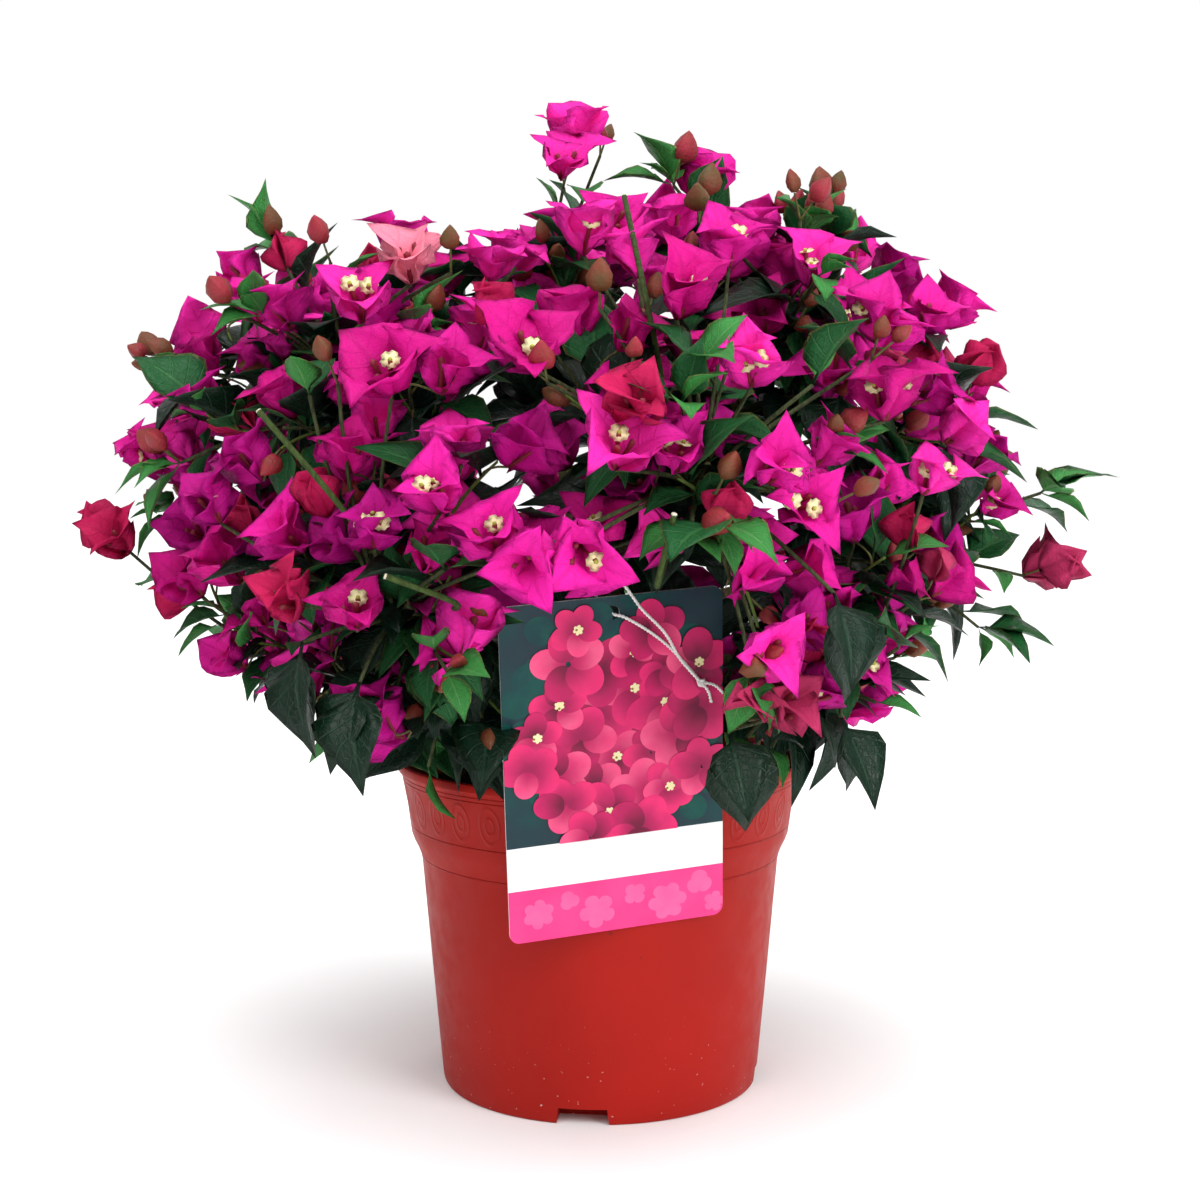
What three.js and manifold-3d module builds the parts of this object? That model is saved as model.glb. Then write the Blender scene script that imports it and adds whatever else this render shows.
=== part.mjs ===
import * as THREE from 'three';
import { mergeVertices } from 'three/addons/utils/BufferGeometryUtils.js';
import Module from 'manifold-3d';

const wasm = await Module();
wasm.setup();

// A flowering shrub with papery bracts in a round nursery pot, with a care tag on a string.
// Millimetres. Z is up, the pot stands on Z = 0 with its axis on Z, and the plant's front faces -Y.

// Pot: tapered body, sloped step, taller rim band with a small lip, four notches in the foot.
const potHeight = 136;
const lipRadius = 85;
const lipHeight = 4.5;
const lipRound = 1;
const mouthFlare = 0.6;
const bandTopRadius = 83.6;
const bandFootRadius = 79.6;
const bandHeight = 28;
const stepHeight = 10;
const bodyTopRadius = 75.2;
const footRadius = 66.5;
const footChamfer = 1.4;
const potWall = 2;
const potFloor = 2.4;
const floorCorner = 0.4;
const potSides = 44;
const notchCount = 4;
const notchAzimuth = -96;
const notchWidth = 21.5;
const notchTopWidth = 19.5;
const notchHeight = 6.7;
const notchDepth = 13;
const pocketWall = 2;
const pocketTaper = 1;
const cutBeyond = 6;

// Every two pieces that touch on the real plant stand this far apart.
const seam = 0.3;

// Potting soil
const soilTop = 123;
const soilMound = 3;
const moundRadius = 30;
const moundLedge = 3;

// Trunk and boughs
const trunkFootRadius = 7.6;
const trunkTipRadius = 2.7;
const flareRadius = 5;
const flareHeight = 7;
const flareRidges = 4;
const flareRidgeDepth = 0.3;
const flareRidgeTurn = 0.6;
const trunkSides = 9;
const trunkRings = 12;
const trunkBend = new THREE.Vector3(6, -3, 0);
const boughFootRadius = 3.1;
const boughTipRadius = 2.3;
const boughSides = 5;
const boughRings = 3;
const boughRise = 26;
const boughArch = 0.5;
const lowestBough = 10;
const boughStep = 3;
const highestBough = 16;

// Crown: every mass of foliage keeps to the directions nearest to its own, seen from the hub.
const hub = new THREE.Vector3(-4, 0, 190);
const hubReach = 66;
const massCount = 12;
const lowestMass = -0.42;
const massTurn = 0.8;
const crownCentre = new THREE.Vector3(-6, 0, 222);
const crownHalfWidth = 184;
const crownHalfDepth = 172;
const crownTop = 142;
const crownBelow = 108;
const crownSquareness = 2.5;
const massMargin = 0.5;
const farthestSkin = 400;
const halvings = 24;

// Shoots: three-sided twigs, each with leaves and a spray of three bracts at its tip.
const shootCount = 132;
const lowestShoot = -0.6;
const shootTurn = 0.35;
const shootTries = 12;
const depthSpread = 0.16;
const lowestRoot = 0.05;
const highestRoot = 0.9;
const rootSpread = 0.3;
const shootArch = 0.34;
const stemShare = 0.8;
const stemSway = 16;
const stemTipRadius = 1.2;
const pullStep = 0.13;
const smallSpray = 0.82;
const shootFootRadius = 1.25;
const shootTipRadius = 0.8;
const twigRings = 1;

// Leaves, each two low pyramids base to base, and sprays of three bracts in a shallow cup
const turnsTried = 6;
const leavesPerShoot = 4;
const firstLeaf = 0.94;
const leafSpacing = 0.2;
const leafJitter = 0.08;
const leafForward = 0.6;
const leafTurn = 1.05;
const leafLength = 46;
const leafWidth = 0.6;
const leafMiddle = 0.42;
const leafFold = 0.05;
const leafThickness = 1.3;
const leafSunk = 0.3;
const bractLength = 32;
const bractShoulder = 0.66;
const bractShoulderAngle = 37;
const bractCleft = 0.24;
const bractCup = 0.42;
const bractSpread = 0.24;
const sprayThickness = 5;
const spraySunk = 1;
const sprayScatter = 0.9;
const sprayAlong = 0.4;
const sprayTurn = 0.37;
const swayStep = 0.3;

// Runs of numbers for the stems, the leaders, the leafy shoots and what each twig carries
const stemSeed = 900;
const leaderSeed = 700;
const leafySeed = 300;
const carriedSeed = 500;
const leaderRoot = 0.55;

// Care tag, hung in front of the rim by a knotted string
const tagWidth = 85;
const tagHeight = 134;
const tagThickness = 0.8;
const tagCorner = 4;
const tagHoleRadius = 2.9;
const tagHoleInset = 6.5;
const tagLean = 12;
const tagYaw = 16;
const tagRoll = 4.6;
const tagAcross = -18.5;
const tagRise = 16.3;
const tagView = 80;
const tagClear = 2;
const tagRoom = 11;
const stringRadius = 0.65;
const knotRadius = 1.9;
const stringRings = 40;
const stringClear = 0.8;

const up = new THREE.Vector3(0, 0, 1);
const goldenAngle = Math.PI * (3 - Math.sqrt(5));
const radians = THREE.MathUtils.degToRad;
const point = (x, y, z) => new THREE.Vector3(x, y, z);
const plus = (a, b, share = 1) => a.clone().addScaledVector(b, share);

// A direction square to another one.
const sideways = (along) => (Math.abs(along.z) < 0.9 ? up : point(1, 0, 0))
  .clone().cross(along).normalize();

// A run of numbers from 0 to 1 that is the same every time for the same seed.
function draws(seed) {
  let state = Math.imul(seed + 1, 2654435761) >>> 0;
  const next = () => {
    state = (Math.imul(state, 1664525) + 1013904223) >>> 0;
    return state / 4294967296;
  };
  next();
  next();
  return next;
}

// Directions spread evenly by the golden angle, with the sine of their height from low to 1.
function spiral(count, low, turn) {
  return Array.from({ length: count }, (_, i) => {
    const sine = low + (1 - low) * (i + 0.5) / count;
    const angle = turn + i * goldenAngle;
    const flat = Math.sqrt(1 - sine * sine);
    return point(flat * Math.cos(angle), flat * Math.sin(angle), sine);
  });
}

// One closed body out of a geometry, without the seams and the empty faces at its poles.
function solid(geometry, tolerance = 1e-4) {
  const bare = new THREE.BufferGeometry();
  bare.setAttribute('position', geometry.getAttribute('position'));
  bare.setIndex(geometry.index);
  const merged = mergeVertices(bare, tolerance);
  const index = merged.index.array;
  const faces = [];
  for (let i = 0; i < index.length; i += 3) {
    const [a, b, c] = [index[i], index[i + 1], index[i + 2]];
    if (a !== b && b !== c && c !== a) faces.push(a, b, c);
  }
  return new wasm.Manifold(new wasm.Mesh({
    numProp: 3,
    vertProperties: merged.attributes.position.array,
    triVerts: new Uint32Array(faces),
  }));
}

const join = (parts) => wasm.Manifold.union(parts);

function geometryOf(body) {
  const mesh = body.getMesh();
  const geometry = new THREE.BufferGeometry();
  geometry.setAttribute('position', new THREE.BufferAttribute(mesh.vertProperties, 3));
  return geometry.setIndex(new THREE.BufferAttribute(mesh.triVerts, 1));
}

// The largest connected piece of a body: loose scraps and sealed hollows are left behind.
function largest(body) {
  return body.decompose().reduce((best, next) => (next.volume() > best.volume() ? next : best));
}

// The same once more after corners within a micrometre of each other have become one.
const settled = (body) => largest(solid(geometryOf(largest(body)), 1e-3));

// A profile of radius and height pairs turned round Z.
function turned(profile) {
  const points = profile.map(([r, z]) => new THREE.Vector2(r, z));
  return solid(new THREE.LatheGeometry(points, potSides).rotateX(Math.PI / 2));
}

// A limb along a curve. radiusAt gives its radius at a share of its length and at an angle,
// and its first ring is square to startAlong.
function limb(curve, radiusAt, sides, rings, startAlong = curve.getTangent(0)) {
  const geometry = new THREE.CylinderGeometry(1, 1, 1, sides, rings);
  const place = geometry.getAttribute('position');
  const spread = curve.getPoint(1).sub(curve.getPoint(0)).normalize();
  const side = Math.abs(spread.z) < 0.9 ? up : point(1, 0, 0);
  for (let i = 0; i < place.count; i += 1) {
    const [x, z] = [place.getX(i), place.getZ(i)];
    const share = place.getY(i) + 0.5;
    const along = share < 0.001 ? startAlong : curve.getTangent(share);
    const first = plus(side, along, -side.dot(along)).normalize();
    const second = first.clone().cross(along);
    const radius = radiusAt(share, Math.atan2(z, x));
    const spot = plus(plus(curve.getPoint(share), first, x * radius), second, z * radius);
    place.setXYZ(i, spot.x, spot.y, spot.z);
  }
  return geometry;
}

const taper = (foot, tip) => (share) => foot + (tip - foot) * share;

// The pot and the soil in it

const bandFoot = potHeight - bandHeight;
const bodyTop = bandFoot - stepHeight;
const lipFoot = potHeight - lipHeight;

// The pot's outside from the foot to the lip, moved out by a clearance.
function potOutside(clear) {
  return [
    [footRadius - footChamfer + clear, -clear],
    [footRadius + clear, footChamfer - clear],
    [bodyTopRadius + clear, bodyTop],
    [bandFootRadius + clear, bandFoot - clear],
    [bandTopRadius + clear, lipFoot - clear],
    [lipRadius + clear, lipFoot + lipRound - clear],
    [lipRadius + clear, potHeight - lipRound],
    [lipRadius - lipRound + clear, potHeight + clear],
  ];
}

// The hollow of the pot from the floor to the mouth, drawn in by a clearance.
function potInside(clear) {
  return [
    [footRadius - potWall - floorCorner - clear, potFloor + clear],
    [bodyTopRadius - potWall - clear, bodyTop],
    [bandFootRadius - potWall - clear, bandFoot],
    [bandTopRadius - potWall - clear, lipFoot],
    [bandTopRadius - potWall + mouthFlare - clear, potHeight],
  ];
}

function radiusAtHeight(profile, height) {
  const above = profile.findIndex(([, z]) => z >= height);
  const [[r0, z0], [r1, z1]] = [profile[above - 1], profile[above]];
  return r0 + (r1 - r0) * (height - z0) / (z1 - z0);
}

function aroundPot(geometry, turnIndex) {
  const angle = radians(notchAzimuth) + turnIndex * 2 * Math.PI / notchCount;
  return solid(geometry.clone().rotateZ(angle));
}

// A block or a notch at the foot: its outline is across and up, and it runs along the radius.
function footBlock(width, topWidth, low, high, from, to) {
  const outline = new THREE.Shape([
    new THREE.Vector2(-width / 2, low),
    new THREE.Vector2(width / 2, low),
    new THREE.Vector2(topWidth / 2, high),
    new THREE.Vector2(-topWidth / 2, high),
  ]);
  return new THREE.ExtrudeGeometry(outline, { depth: to - from, bevelEnabled: false })
    .rotateX(Math.PI / 2).rotateZ(Math.PI / 2).translate(from, 0, 0);
}

const notchBack = footRadius - notchDepth;

function pockets(clear) {
  const width = notchWidth + 2 * pocketWall + 2 * clear;
  const block = footBlock(width, width - pocketTaper, 0, notchHeight + pocketWall + clear,
    notchBack - pocketWall - clear, footRadius + cutBeyond);
  return join(Array.from({ length: notchCount }, (_, i) => aroundPot(block, i)));
}

function makePot() {
  const filled = turned([[0, 0], ...potOutside(0), [0, potHeight]]);
  const hollow = turned([[0, potFloor], ...potInside(0), [0, potHeight]]);
  const cutter = footBlock(notchWidth, notchTopWidth, -1, notchHeight, notchBack,
    footRadius + cutBeyond);
  const notches = join(Array.from({ length: notchCount }, (_, i) => aroundPot(cutter, i)));
  return filled.subtract(hollow).add(filled.intersect(pockets(0))).subtract(notches);
}

function makeSoil() {
  const inside = potInside(seam).filter(([, z]) => z < soilTop);
  const brim = radiusAtHeight(potInside(seam), soilTop);
  const plug = turned([
    [0, potFloor + seam], ...inside, [brim, soilTop],
    [moundRadius, soilTop], [trunkFootRadius + flareRadius + moundLedge, soilTop + soilMound],
    [0, soilTop + soilMound],
  ]);
  return plug.subtract(pockets(seam));
}

// The crown's space, and how it is shared among the masses

const massAxes = spiral(massCount, lowestMass, massTurn);

// How far the crown's skin is from the hub in a direction.
function skinReach(direction) {
  const outside = (reach) => {
    const p = plus(hub, direction, reach).sub(crownCentre);
    const height = p.z > 0 ? crownTop : crownBelow;
    const flat = Math.hypot(p.x / crownHalfWidth, p.y / crownHalfDepth);
    return flat ** crownSquareness + (Math.abs(p.z) / height) ** crownSquareness > 1;
  };
  let [near, far] = [0, farthestSkin];
  for (let i = 0; i < halvings; i += 1) {
    const middle = (near + far) / 2;
    if (outside(middle)) far = middle; else near = middle;
  }
  return near;
}

// Parts of the crown that reach further than the rest, or less far.
const swells = [
  { name: 'left shoulder', azimuth: 180, height: 10, spread: 26, gain: 0.14 },
  { name: 'upper left', azimuth: 178, height: 50, spread: 22, gain: 0.07 },
  { name: 'upper right', azimuth: 0, height: 42, spread: 24, gain: 0.1 },
  { name: 'top right', azimuth: -10, height: 72, spread: 20, gain: 0.09 },
  { name: 'right spray', azimuth: 0, height: 8, spread: 16, gain: 0.05 },
  { name: 'low left hollow', azimuth: 186, height: -20, spread: 30, gain: -0.27 },
  { name: 'low right hollow', azimuth: -4, height: -18, spread: 30, gain: -0.27 },
].map((swell) => {
  const flat = Math.cos(radians(swell.height));
  const [turn, rise] = [radians(swell.azimuth), Math.sin(radians(swell.height))];
  const axis = point(flat * Math.cos(turn), flat * Math.sin(turn), rise);
  return { ...swell, axis, width: radians(swell.spread) };
});

function reachTowards(direction) {
  const gain = swells.reduce((sum, swell) => {
    const angle = direction.angleTo(swell.axis) / swell.width;
    return sum + swell.gain * Math.exp(-angle * angle);
  }, 1);
  return skinReach(direction) * gain;
}

function nearestMass(direction) {
  const closeness = massAxes.map((axis) => axis.dot(direction));
  return closeness.indexOf(Math.max(...closeness));
}

// True if every corner of the geometry is inside the space of the mass.
function keepsToMass(geometry, mass) {
  const place = geometry.getAttribute('position');
  const walls = massAxes.filter((_, j) => j !== mass)
    .map((axis) => massAxes[mass].clone().sub(axis).normalize());
  for (let i = 0; i < place.count; i += 1) {
    const p = point(place.getX(i), place.getY(i), place.getZ(i)).sub(hub);
    if (walls.some((wall) => wall.dot(p) < massMargin)) return false;
  }
  return true;
}

// The trunk, and a bough for each mass but the last

const trunkFoot = point(0, 0, soilTop + soilMound + seam);
const trunkTip = plus(hub, massAxes[massCount - 1], hubReach);
const trunkCurve = new THREE.QuadraticBezierCurve3(
  trunkFoot, plus(plus(trunkFoot, trunkBend), trunkTip.clone().sub(trunkFoot), 0.5), trunkTip);

function makeTrunk(clear) {
  const length = trunkCurve.getLength();
  const radiusAt = (share, angle) => {
    const flare = Math.exp(-share * length / flareHeight);
    const wave = Math.cos(flareRidges * angle + flareRidgeTurn);
    const ridge = 1 + flareRidgeDepth * (wave - 1);
    return taper(trunkFootRadius, trunkTipRadius)(share) + flareRadius * flare * ridge + clear;
  };
  return solid(limb(trunkCurve, radiusAt, trunkSides, trunkRings, up));
}

const trunk = makeTrunk(0);
const trunkSleeve = makeTrunk(seam);

// The centre line of the bough that ends where the stem of its mass begins.
function boughCurve(mass) {
  const axis = massAxes[mass];
  const tip = plus(hub, axis, hubReach);
  const low = trunkFoot.z + lowestBough + mass * boughStep;
  const high = trunkTip.z - highestBough;
  const height = Math.min(Math.max(tip.z - boughRise, low), high);
  const foot = trunkCurve.getPoint((height - trunkFoot.z) / (trunkTip.z - trunkFoot.z));
  const bend = plus(tip, axis, -tip.distanceTo(foot) * boughArch);
  return new THREE.QuadraticBezierCurve3(foot, bend, tip);
}

const boughCurves = massAxes.slice(0, -1).map((_, mass) => boughCurve(mass));
const makeBough = (curve, clear) => solid(
  limb(curve, taper(boughFootRadius + clear, boughTipRadius + clear), boughSides, boughRings));

// The care tag and its string

// The card's own frame: across to the right, up, and out of its face towards the viewer.
const tagTurn = new THREE.Matrix4()
  .makeRotationZ(radians(tagYaw))
  .multiply(new THREE.Matrix4().makeRotationX(radians(tagLean)))
  .multiply(new THREE.Matrix4().makeRotationY(radians(-tagRoll)));
const [tagRight, tagBack, tagUp] = [0, 1, 2].map(
  (column) => new THREE.Vector3().setFromMatrixColumn(tagTurn, column));
const tagOut = tagBack.clone().negate();

// The card leans on the lip, so its back is a seam's width from the lip's outermost point.
const lipTouch = point(tagOut.x, tagOut.y, 0).normalize().multiplyScalar(lipRadius)
  .setZ(tagOut.z > 0 ? potHeight - lipRound : lipFoot + lipRound);
const tagCentre = plus(plus(plus(lipTouch, tagOut, seam + tagThickness / 2),
  tagRight, tagAcross), tagUp, tagRise);
const onTag = (across, rise, out) => plus(plus(plus(tagCentre, tagRight, across),
  tagUp, rise), tagOut, out);

function placedOnTag(geometry) {
  const place = geometry.getAttribute('position');
  for (let i = 0; i < place.count; i += 1) {
    const p = onTag(place.getX(i), place.getY(i), place.getZ(i));
    place.setXYZ(i, p.x, p.y, p.z);
  }
  return geometry;
}

const tagHoleHeight = tagHeight / 2 - tagHoleInset;

function makeTag() {
  const [w, h, r] = [tagWidth / 2, tagHeight / 2, tagCorner];
  const outline = new THREE.Shape();
  outline.moveTo(w - r, -h);
  outline.absarc(w - r, r - h, r, -Math.PI / 2, 0);
  outline.absarc(w - r, h - r, r, 0, Math.PI / 2);
  outline.absarc(r - w, h - r, r, Math.PI / 2, Math.PI);
  outline.absarc(r - w, r - h, r, Math.PI, 1.5 * Math.PI);
  outline.closePath();
  const hole = new THREE.Path();
  hole.absarc(0, tagHoleHeight, tagHoleRadius, 0, 2 * Math.PI, true);
  outline.holes.push(hole);
  const card = new THREE.ExtrudeGeometry(
    outline, { depth: tagThickness, bevelEnabled: false, curveSegments: 5 });
  return solid(placedOnTag(card.translate(0, 0, -tagThickness / 2)));
}

// The string runs from the knot on the card's face through the hole and round a twig behind it.
const knotSpot = onTag(33, 31, 3.2);
const stringLoop = [
  knotSpot,
  onTag(20, 47, 1.6),
  onTag(4, tagHoleHeight - 1.2, 2.2),
  onTag(0, tagHoleHeight, 0),
  onTag(-3, tagHoleHeight + 3.4, -5),
  onTag(-6, tagHoleHeight + 9, -8),
  onTag(-3, tagHoleHeight + 13, -6),
  onTag(3, tagHoleHeight + 12, 2),
  onTag(10, tagHoleHeight + 2, 4.6),
  onTag(19, 52, 3.8),
  onTag(25, 41, 3.4),
];
const stringTails = [
  [knotSpot, onTag(36, 27, 2.6), onTag(37.5, 22, 1.8)],
  [knotSpot, onTag(38, 29.5, 3.4), onTag(42, 25.5, 2.4)],
];

function loopOfString(radius) {
  const curve = new THREE.CatmullRomCurve3(stringLoop, true);
  return solid(new THREE.TubeGeometry(curve, stringRings, radius, 5, true));
}

function makeString() {
  const knot = new THREE.IcosahedronGeometry(knotRadius, 1)
    .translate(knotSpot.x, knotSpot.y, knotSpot.z);
  const tails = stringTails.map((points) => solid(
    limb(new THREE.CatmullRomCurve3(points), () => stringRadius, 5, 3)));
  return largest(join([loopOfString(stringRadius), solid(knot), ...tails]));
}

// The foliage

// A leaf from its root towards a direction, with its upper side towards face.
function leaf(root, direction, face, length) {
  const across = direction.clone().cross(face).normalize();
  const normal = across.clone().cross(direction).normalize();
  const geometry = new THREE.OctahedronGeometry(0.5);
  const place = geometry.getAttribute('position');
  for (let i = 0; i < place.count; i += 1) {
    const [x, y, z] = [place.getX(i), place.getY(i), place.getZ(i)];
    const along = (Math.abs(x) < 0.1 ? leafMiddle : x + 0.5) * length;
    const p = plus(plus(plus(root, direction, along), across, -y * length * leafWidth),
      normal, z * leafThickness - (Math.abs(y) < 0.1 ? leafFold : 0) * length);
    place.setXYZ(i, p.x, p.y, p.z);
  }
  return geometry;
}

// Three bracts in a shallow cup: one disc whose edge runs out to each tip and in to each cleft.
function spray(foot, facing, spin, length) {
  const geometry = new THREE.LatheGeometry(
    [new THREE.Vector2(0, 0), new THREE.Vector2(1, 0.5), new THREE.Vector2(0, 1)], 12);
  const first = sideways(facing);
  const second = first.clone().cross(facing);
  const place = geometry.getAttribute('position');
  for (let i = 0; i < place.count; i += 1) {
    const [x, height, z] = [place.getX(i), place.getY(i), place.getZ(i)];
    const rim = Math.hypot(x, z) > 0.5;
    const step = Math.round(Math.atan2(z, x) / (Math.PI / 6));
    const corner = ((step % 4) + 4) % 4;
    const centre = (step - corner + (corner === 3 ? 4 : 0)) * Math.PI / 6;
    const lean = radians(bractShoulderAngle) * (corner === 1 ? 1 : -1);
    const angle = spin + (corner % 2 ? centre + lean : step * Math.PI / 6);
    const reach = length * [1, bractShoulder, bractCleft][corner === 3 ? 1 : corner];
    const radius = rim ? reach : 0;
    const lift = rim ? reach * bractCup : height * sprayThickness - spraySunk / 2;
    const p = plus(plus(plus(foot, first, radius * Math.cos(angle)),
      second, radius * Math.sin(angle)), facing, lift);
    place.setXYZ(i, p.x, p.y, p.z);
  }
  return geometry;
}

const potSleeve = turned([[0, -1], ...potOutside(1), [0, potHeight + 1]]);
const soilSleeve = turned([[0, potFloor], [bandFootRadius, potFloor],
  [bandFootRadius, soilTop + soilMound + 1], [0, soilTop + soilMound + 1]]);
const tagSleeve = join([
  new THREE.BoxGeometry(tagWidth + tagClear, tagHeight + tagClear, tagRoom + tagClear)
    .translate(0, 0, (tagRoom - tagClear) / 2),
  new THREE.BoxGeometry(tagWidth - tagClear, tagHeight - tagRoom, tagView)
    .translate(0, -tagRoom / 2 - tagClear, tagView / 2),
].map((box) => solid(placedOnTag(box))));
const stringSleeve = loopOfString(stringRadius + stringClear);
const limbSleeves = join([
  makeTrunk(massMargin), ...boughCurves.map((curve) => makeBough(curve, massMargin)),
]);
const obstacles = join([potSleeve, soilSleeve, tagSleeve, stringSleeve, limbSleeves]);

const apart = (a, b) => {
  const [p, q] = [a.boundingBox(), b.boundingBox()];
  return [0, 1, 2].some((i) => p.max[i] < q.min[i] || q.max[i] < p.min[i])
    || a.intersect(b).isEmpty();
};

// Each stem goes on from the tip of its bough, and the last one from the tip of the trunk.
const carriers = [...boughCurves, trunkCurve];
const stemCurves = massAxes.map((axis, mass) => {
  const next = draws(stemSeed + mass);
  const start = plus(carriers[mass].getPoint(1), carriers[mass].getTangent(1), seam);
  const reach = reachTowards(axis) * stemShare;
  const middle = plus(hub, axis, (hubReach + reach) / 2);
  const bend = point(next() - 0.5, next() - 0.5, next() * 0.6).multiplyScalar(stemSway);
  return new THREE.QuadraticBezierCurve3(start,
    middle.add(plus(bend, axis, -bend.dot(axis))), plus(hub, axis, reach));
});

// What has grown in each mass: its stem and twigs, and the leaves and sprays on them.
const masses = massAxes.map((_, mass) => {
  const radii = taper(mass === massCount - 1 ? trunkTipRadius : boughTipRadius, stemTipRadius);
  const stem = limb(stemCurves[mass], radii, 4, 3, carriers[mass].getTangent(1));
  return { wood: [solid(stem)], blades: [] };
});

// The body of a geometry that keeps to its mass and meets nothing but its own twig, or null.
function grownBody(geometry, mass, others) {
  if (!keepsToMass(geometry, mass)) return null;
  const body = solid(geometry);
  return others.every((other) => apart(body, other)) && apart(body, obstacles) ? body : null;
}

// A point on the straight lengths that a twig is made of.
function onTwig(curve, share) {
  const ring = Math.min(Math.floor(share * twigRings), twigRings - 1);
  const [from, to] = [ring / twigRings, (ring + 1) / twigRings];
  return curve.getPoint(from).lerp(curve.getPoint(to), (share - from) * twigRings);
}

function growSpray(curve, mass, next, length) {
  const tip = curve.getPoint(1);
  const outward = plus(tip, hub, -1).normalize();
  const sway = point(next() - 0.5, next() - 0.5, next() - 0.5).multiplyScalar(sprayScatter);
  const spin = next() * 6;
  for (let turn = 0; turn < turnsTried; turn += 1) {
    const facing = plus(plus(outward, curve.getTangent(1), sprayAlong), sway, 1 - turn * swayStep)
      .normalize();
    const foot = plus(tip, facing, -spraySunk);
    const shape = spray(foot, facing, spin + turn * sprayTurn, length);
    const body = grownBody(shape, mass, masses[mass].blades);
    if (body) return body;
  }
  return null;
}

function growLeaves(curve, mass, next) {
  const found = [];
  for (let i = 0; i < leavesPerShoot; i += 1) {
    const share = firstLeaf - leafSpacing * i - leafJitter * next();
    const length = leafLength * (0.8 + 0.4 * next());
    const around = i * goldenAngle + next() * 6;
    const along = curve.getTangent(share);
    const root = onTwig(curve, share);
    const first = sideways(along);
    const second = along.clone().cross(first);
    for (let turn = 0; turn < turnsTried; turn += 1) {
      const angle = around + turn * leafTurn;
      const side = plus(first.clone().multiplyScalar(Math.cos(angle)), second, Math.sin(angle));
      const direction = plus(side, along, leafForward).normalize();
      const shape = leaf(plus(root, direction, -leafSunk), direction, along, length);
      const body = grownBody(shape, mass, [...masses[mass].blades, ...masses[mass].wood, ...found]);
      if (body) {
        found.push(body);
        break;
      }
    }
  }
  return found;
}

// A twig with what it carries is kept if it has room; if not, nothing of it is grown.
function growTwig(curve, mass, seed, sprayLength, leastLeaves) {
  const next = draws(seed);
  const shape = limb(curve, taper(shootFootRadius, shootTipRadius), 3, twigRings);
  const twig = grownBody(shape, mass, []);
  if (!twig) return false;
  const flowers = sprayLength > 0 ? [growSpray(curve, mass, next, sprayLength)] : [];
  if (flowers.includes(null)) return false;
  masses[mass].blades.push(...flowers);
  const leaves = growLeaves(curve, mass, next);
  if (leaves.length < leastLeaves) {
    if (flowers.length) masses[mass].blades.pop();
    return false;
  }
  masses[mass].blades.push(...leaves);
  masses[mass].wood.push(twig);
  return true;
}

function curveTo(tip, mass, rootShare) {
  const root = stemCurves[mass].getPoint(rootShare);
  const along = stemCurves[mass].getTangent(rootShare);
  const bend = plus(root, along, root.distanceTo(tip) * shootArch);
  return new THREE.QuadraticBezierCurve3(root, bend, tip);
}

// A shoot towards a point of the skin. Near a wall of its space it is drawn towards the axis.
function growShoot(aim, index, mass, carriesSpray) {
  const next = draws(index);
  const depth = 1 - depthSpread * next() * next();
  const early = rootSpread * next();
  const length = bractLength * (1 + bractSpread * (next() - 0.5));
  const axis = massAxes[mass];
  for (let attempt = 0; attempt < shootTries; attempt += 1) {
    const pull = pullStep * Math.floor(attempt / 2);
    const direction = aim.clone().lerp(axis, pull).normalize();
    const inset = carriesSpray ? bractLength * bractCup : leafLength * 0.5;
    const tip = plus(hub, direction, reachTowards(direction) * depth - inset);
    const rootShare = Math.max(lowestRoot, highestRoot - direction.angleTo(axis) - early);
    const curve = curveTo(tip, mass, rootShare);
    const size = attempt % 2 ? smallSpray : 1;
    if (growTwig(curve, mass, index + carriedSeed, carriesSpray ? length * size : 0,
      carriesSpray ? 0 : 2)) return true;
  }
  return false;
}

// Shoots that stand out of the crown, by the place of their tips and what they carry.
const leaders = [
  { name: 'top spray', tip: point(-22, -10, 396), carries: 'bracts' },
  { name: 'top bud', tip: point(2, -2, 391), carries: 'leaves' },
  { name: 'top leafy shoot', tip: point(44, -10, 376), carries: 'leaves' },
  { name: 'top right spray', tip: point(58, 4, 362), carries: 'bracts' },
  { name: 'right top shoot', tip: point(92, -20, 354), carries: 'leaves' },
  { name: 'right shoulder spray', tip: point(134, -10, 332), carries: 'bracts' },
  { name: 'right high spray', tip: point(162, -8, 268), carries: 'bracts' },
  { name: 'right long shoot', tip: point(200, -8, 262), carries: 'leaves' },
  { name: 'right low spray', tip: point(181, 4, 214), carries: 'bracts' },
  { name: 'left long spray', tip: point(-200, 32, 246), carries: 'bracts' },
  { name: 'left low spray', tip: point(-203, -18, 223), carries: 'bracts' },
  { name: 'left high shoot', tip: point(-168, -20, 304), carries: 'leaves' },
  { name: 'upper left spray', tip: point(-140, -4, 332), carries: 'bracts' },
  { name: 'upper left shoot', tip: point(-122, -8, 342), carries: 'leaves' },
];

function growMasses() {
  leaders.forEach(({ tip, carries }, index) => {
    const mass = nearestMass(plus(tip, hub, -1).normalize());
    growTwig(curveTo(tip, mass, leaderRoot), mass, index + leaderSeed,
      carries === 'bracts' ? bractLength : 0, 0);
  });
  const aims = spiral(shootCount, lowestShoot, shootTurn);
  const left = aims.filter((aim, index) => !growShoot(aim, index, nearestMass(aim), true));
  left.forEach((aim, index) => growShoot(aim, index + leafySeed, nearestMass(aim), false));
  return masses.map(({ wood, blades }) => settled(join([...wood, ...blades])));
}

// The finished plant

const group = new THREE.Group();

function add(name, body, colour, roughness) {
  const material = new THREE.MeshStandardMaterial({ color: colour, roughness, metalness: 0 });
  const part = new THREE.Mesh(geometryOf(body), material);
  part.name = name;
  group.add(part);
}

const numbered = (name, index) => `${name}_${String(index + 1).padStart(2, '0')}`;

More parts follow.
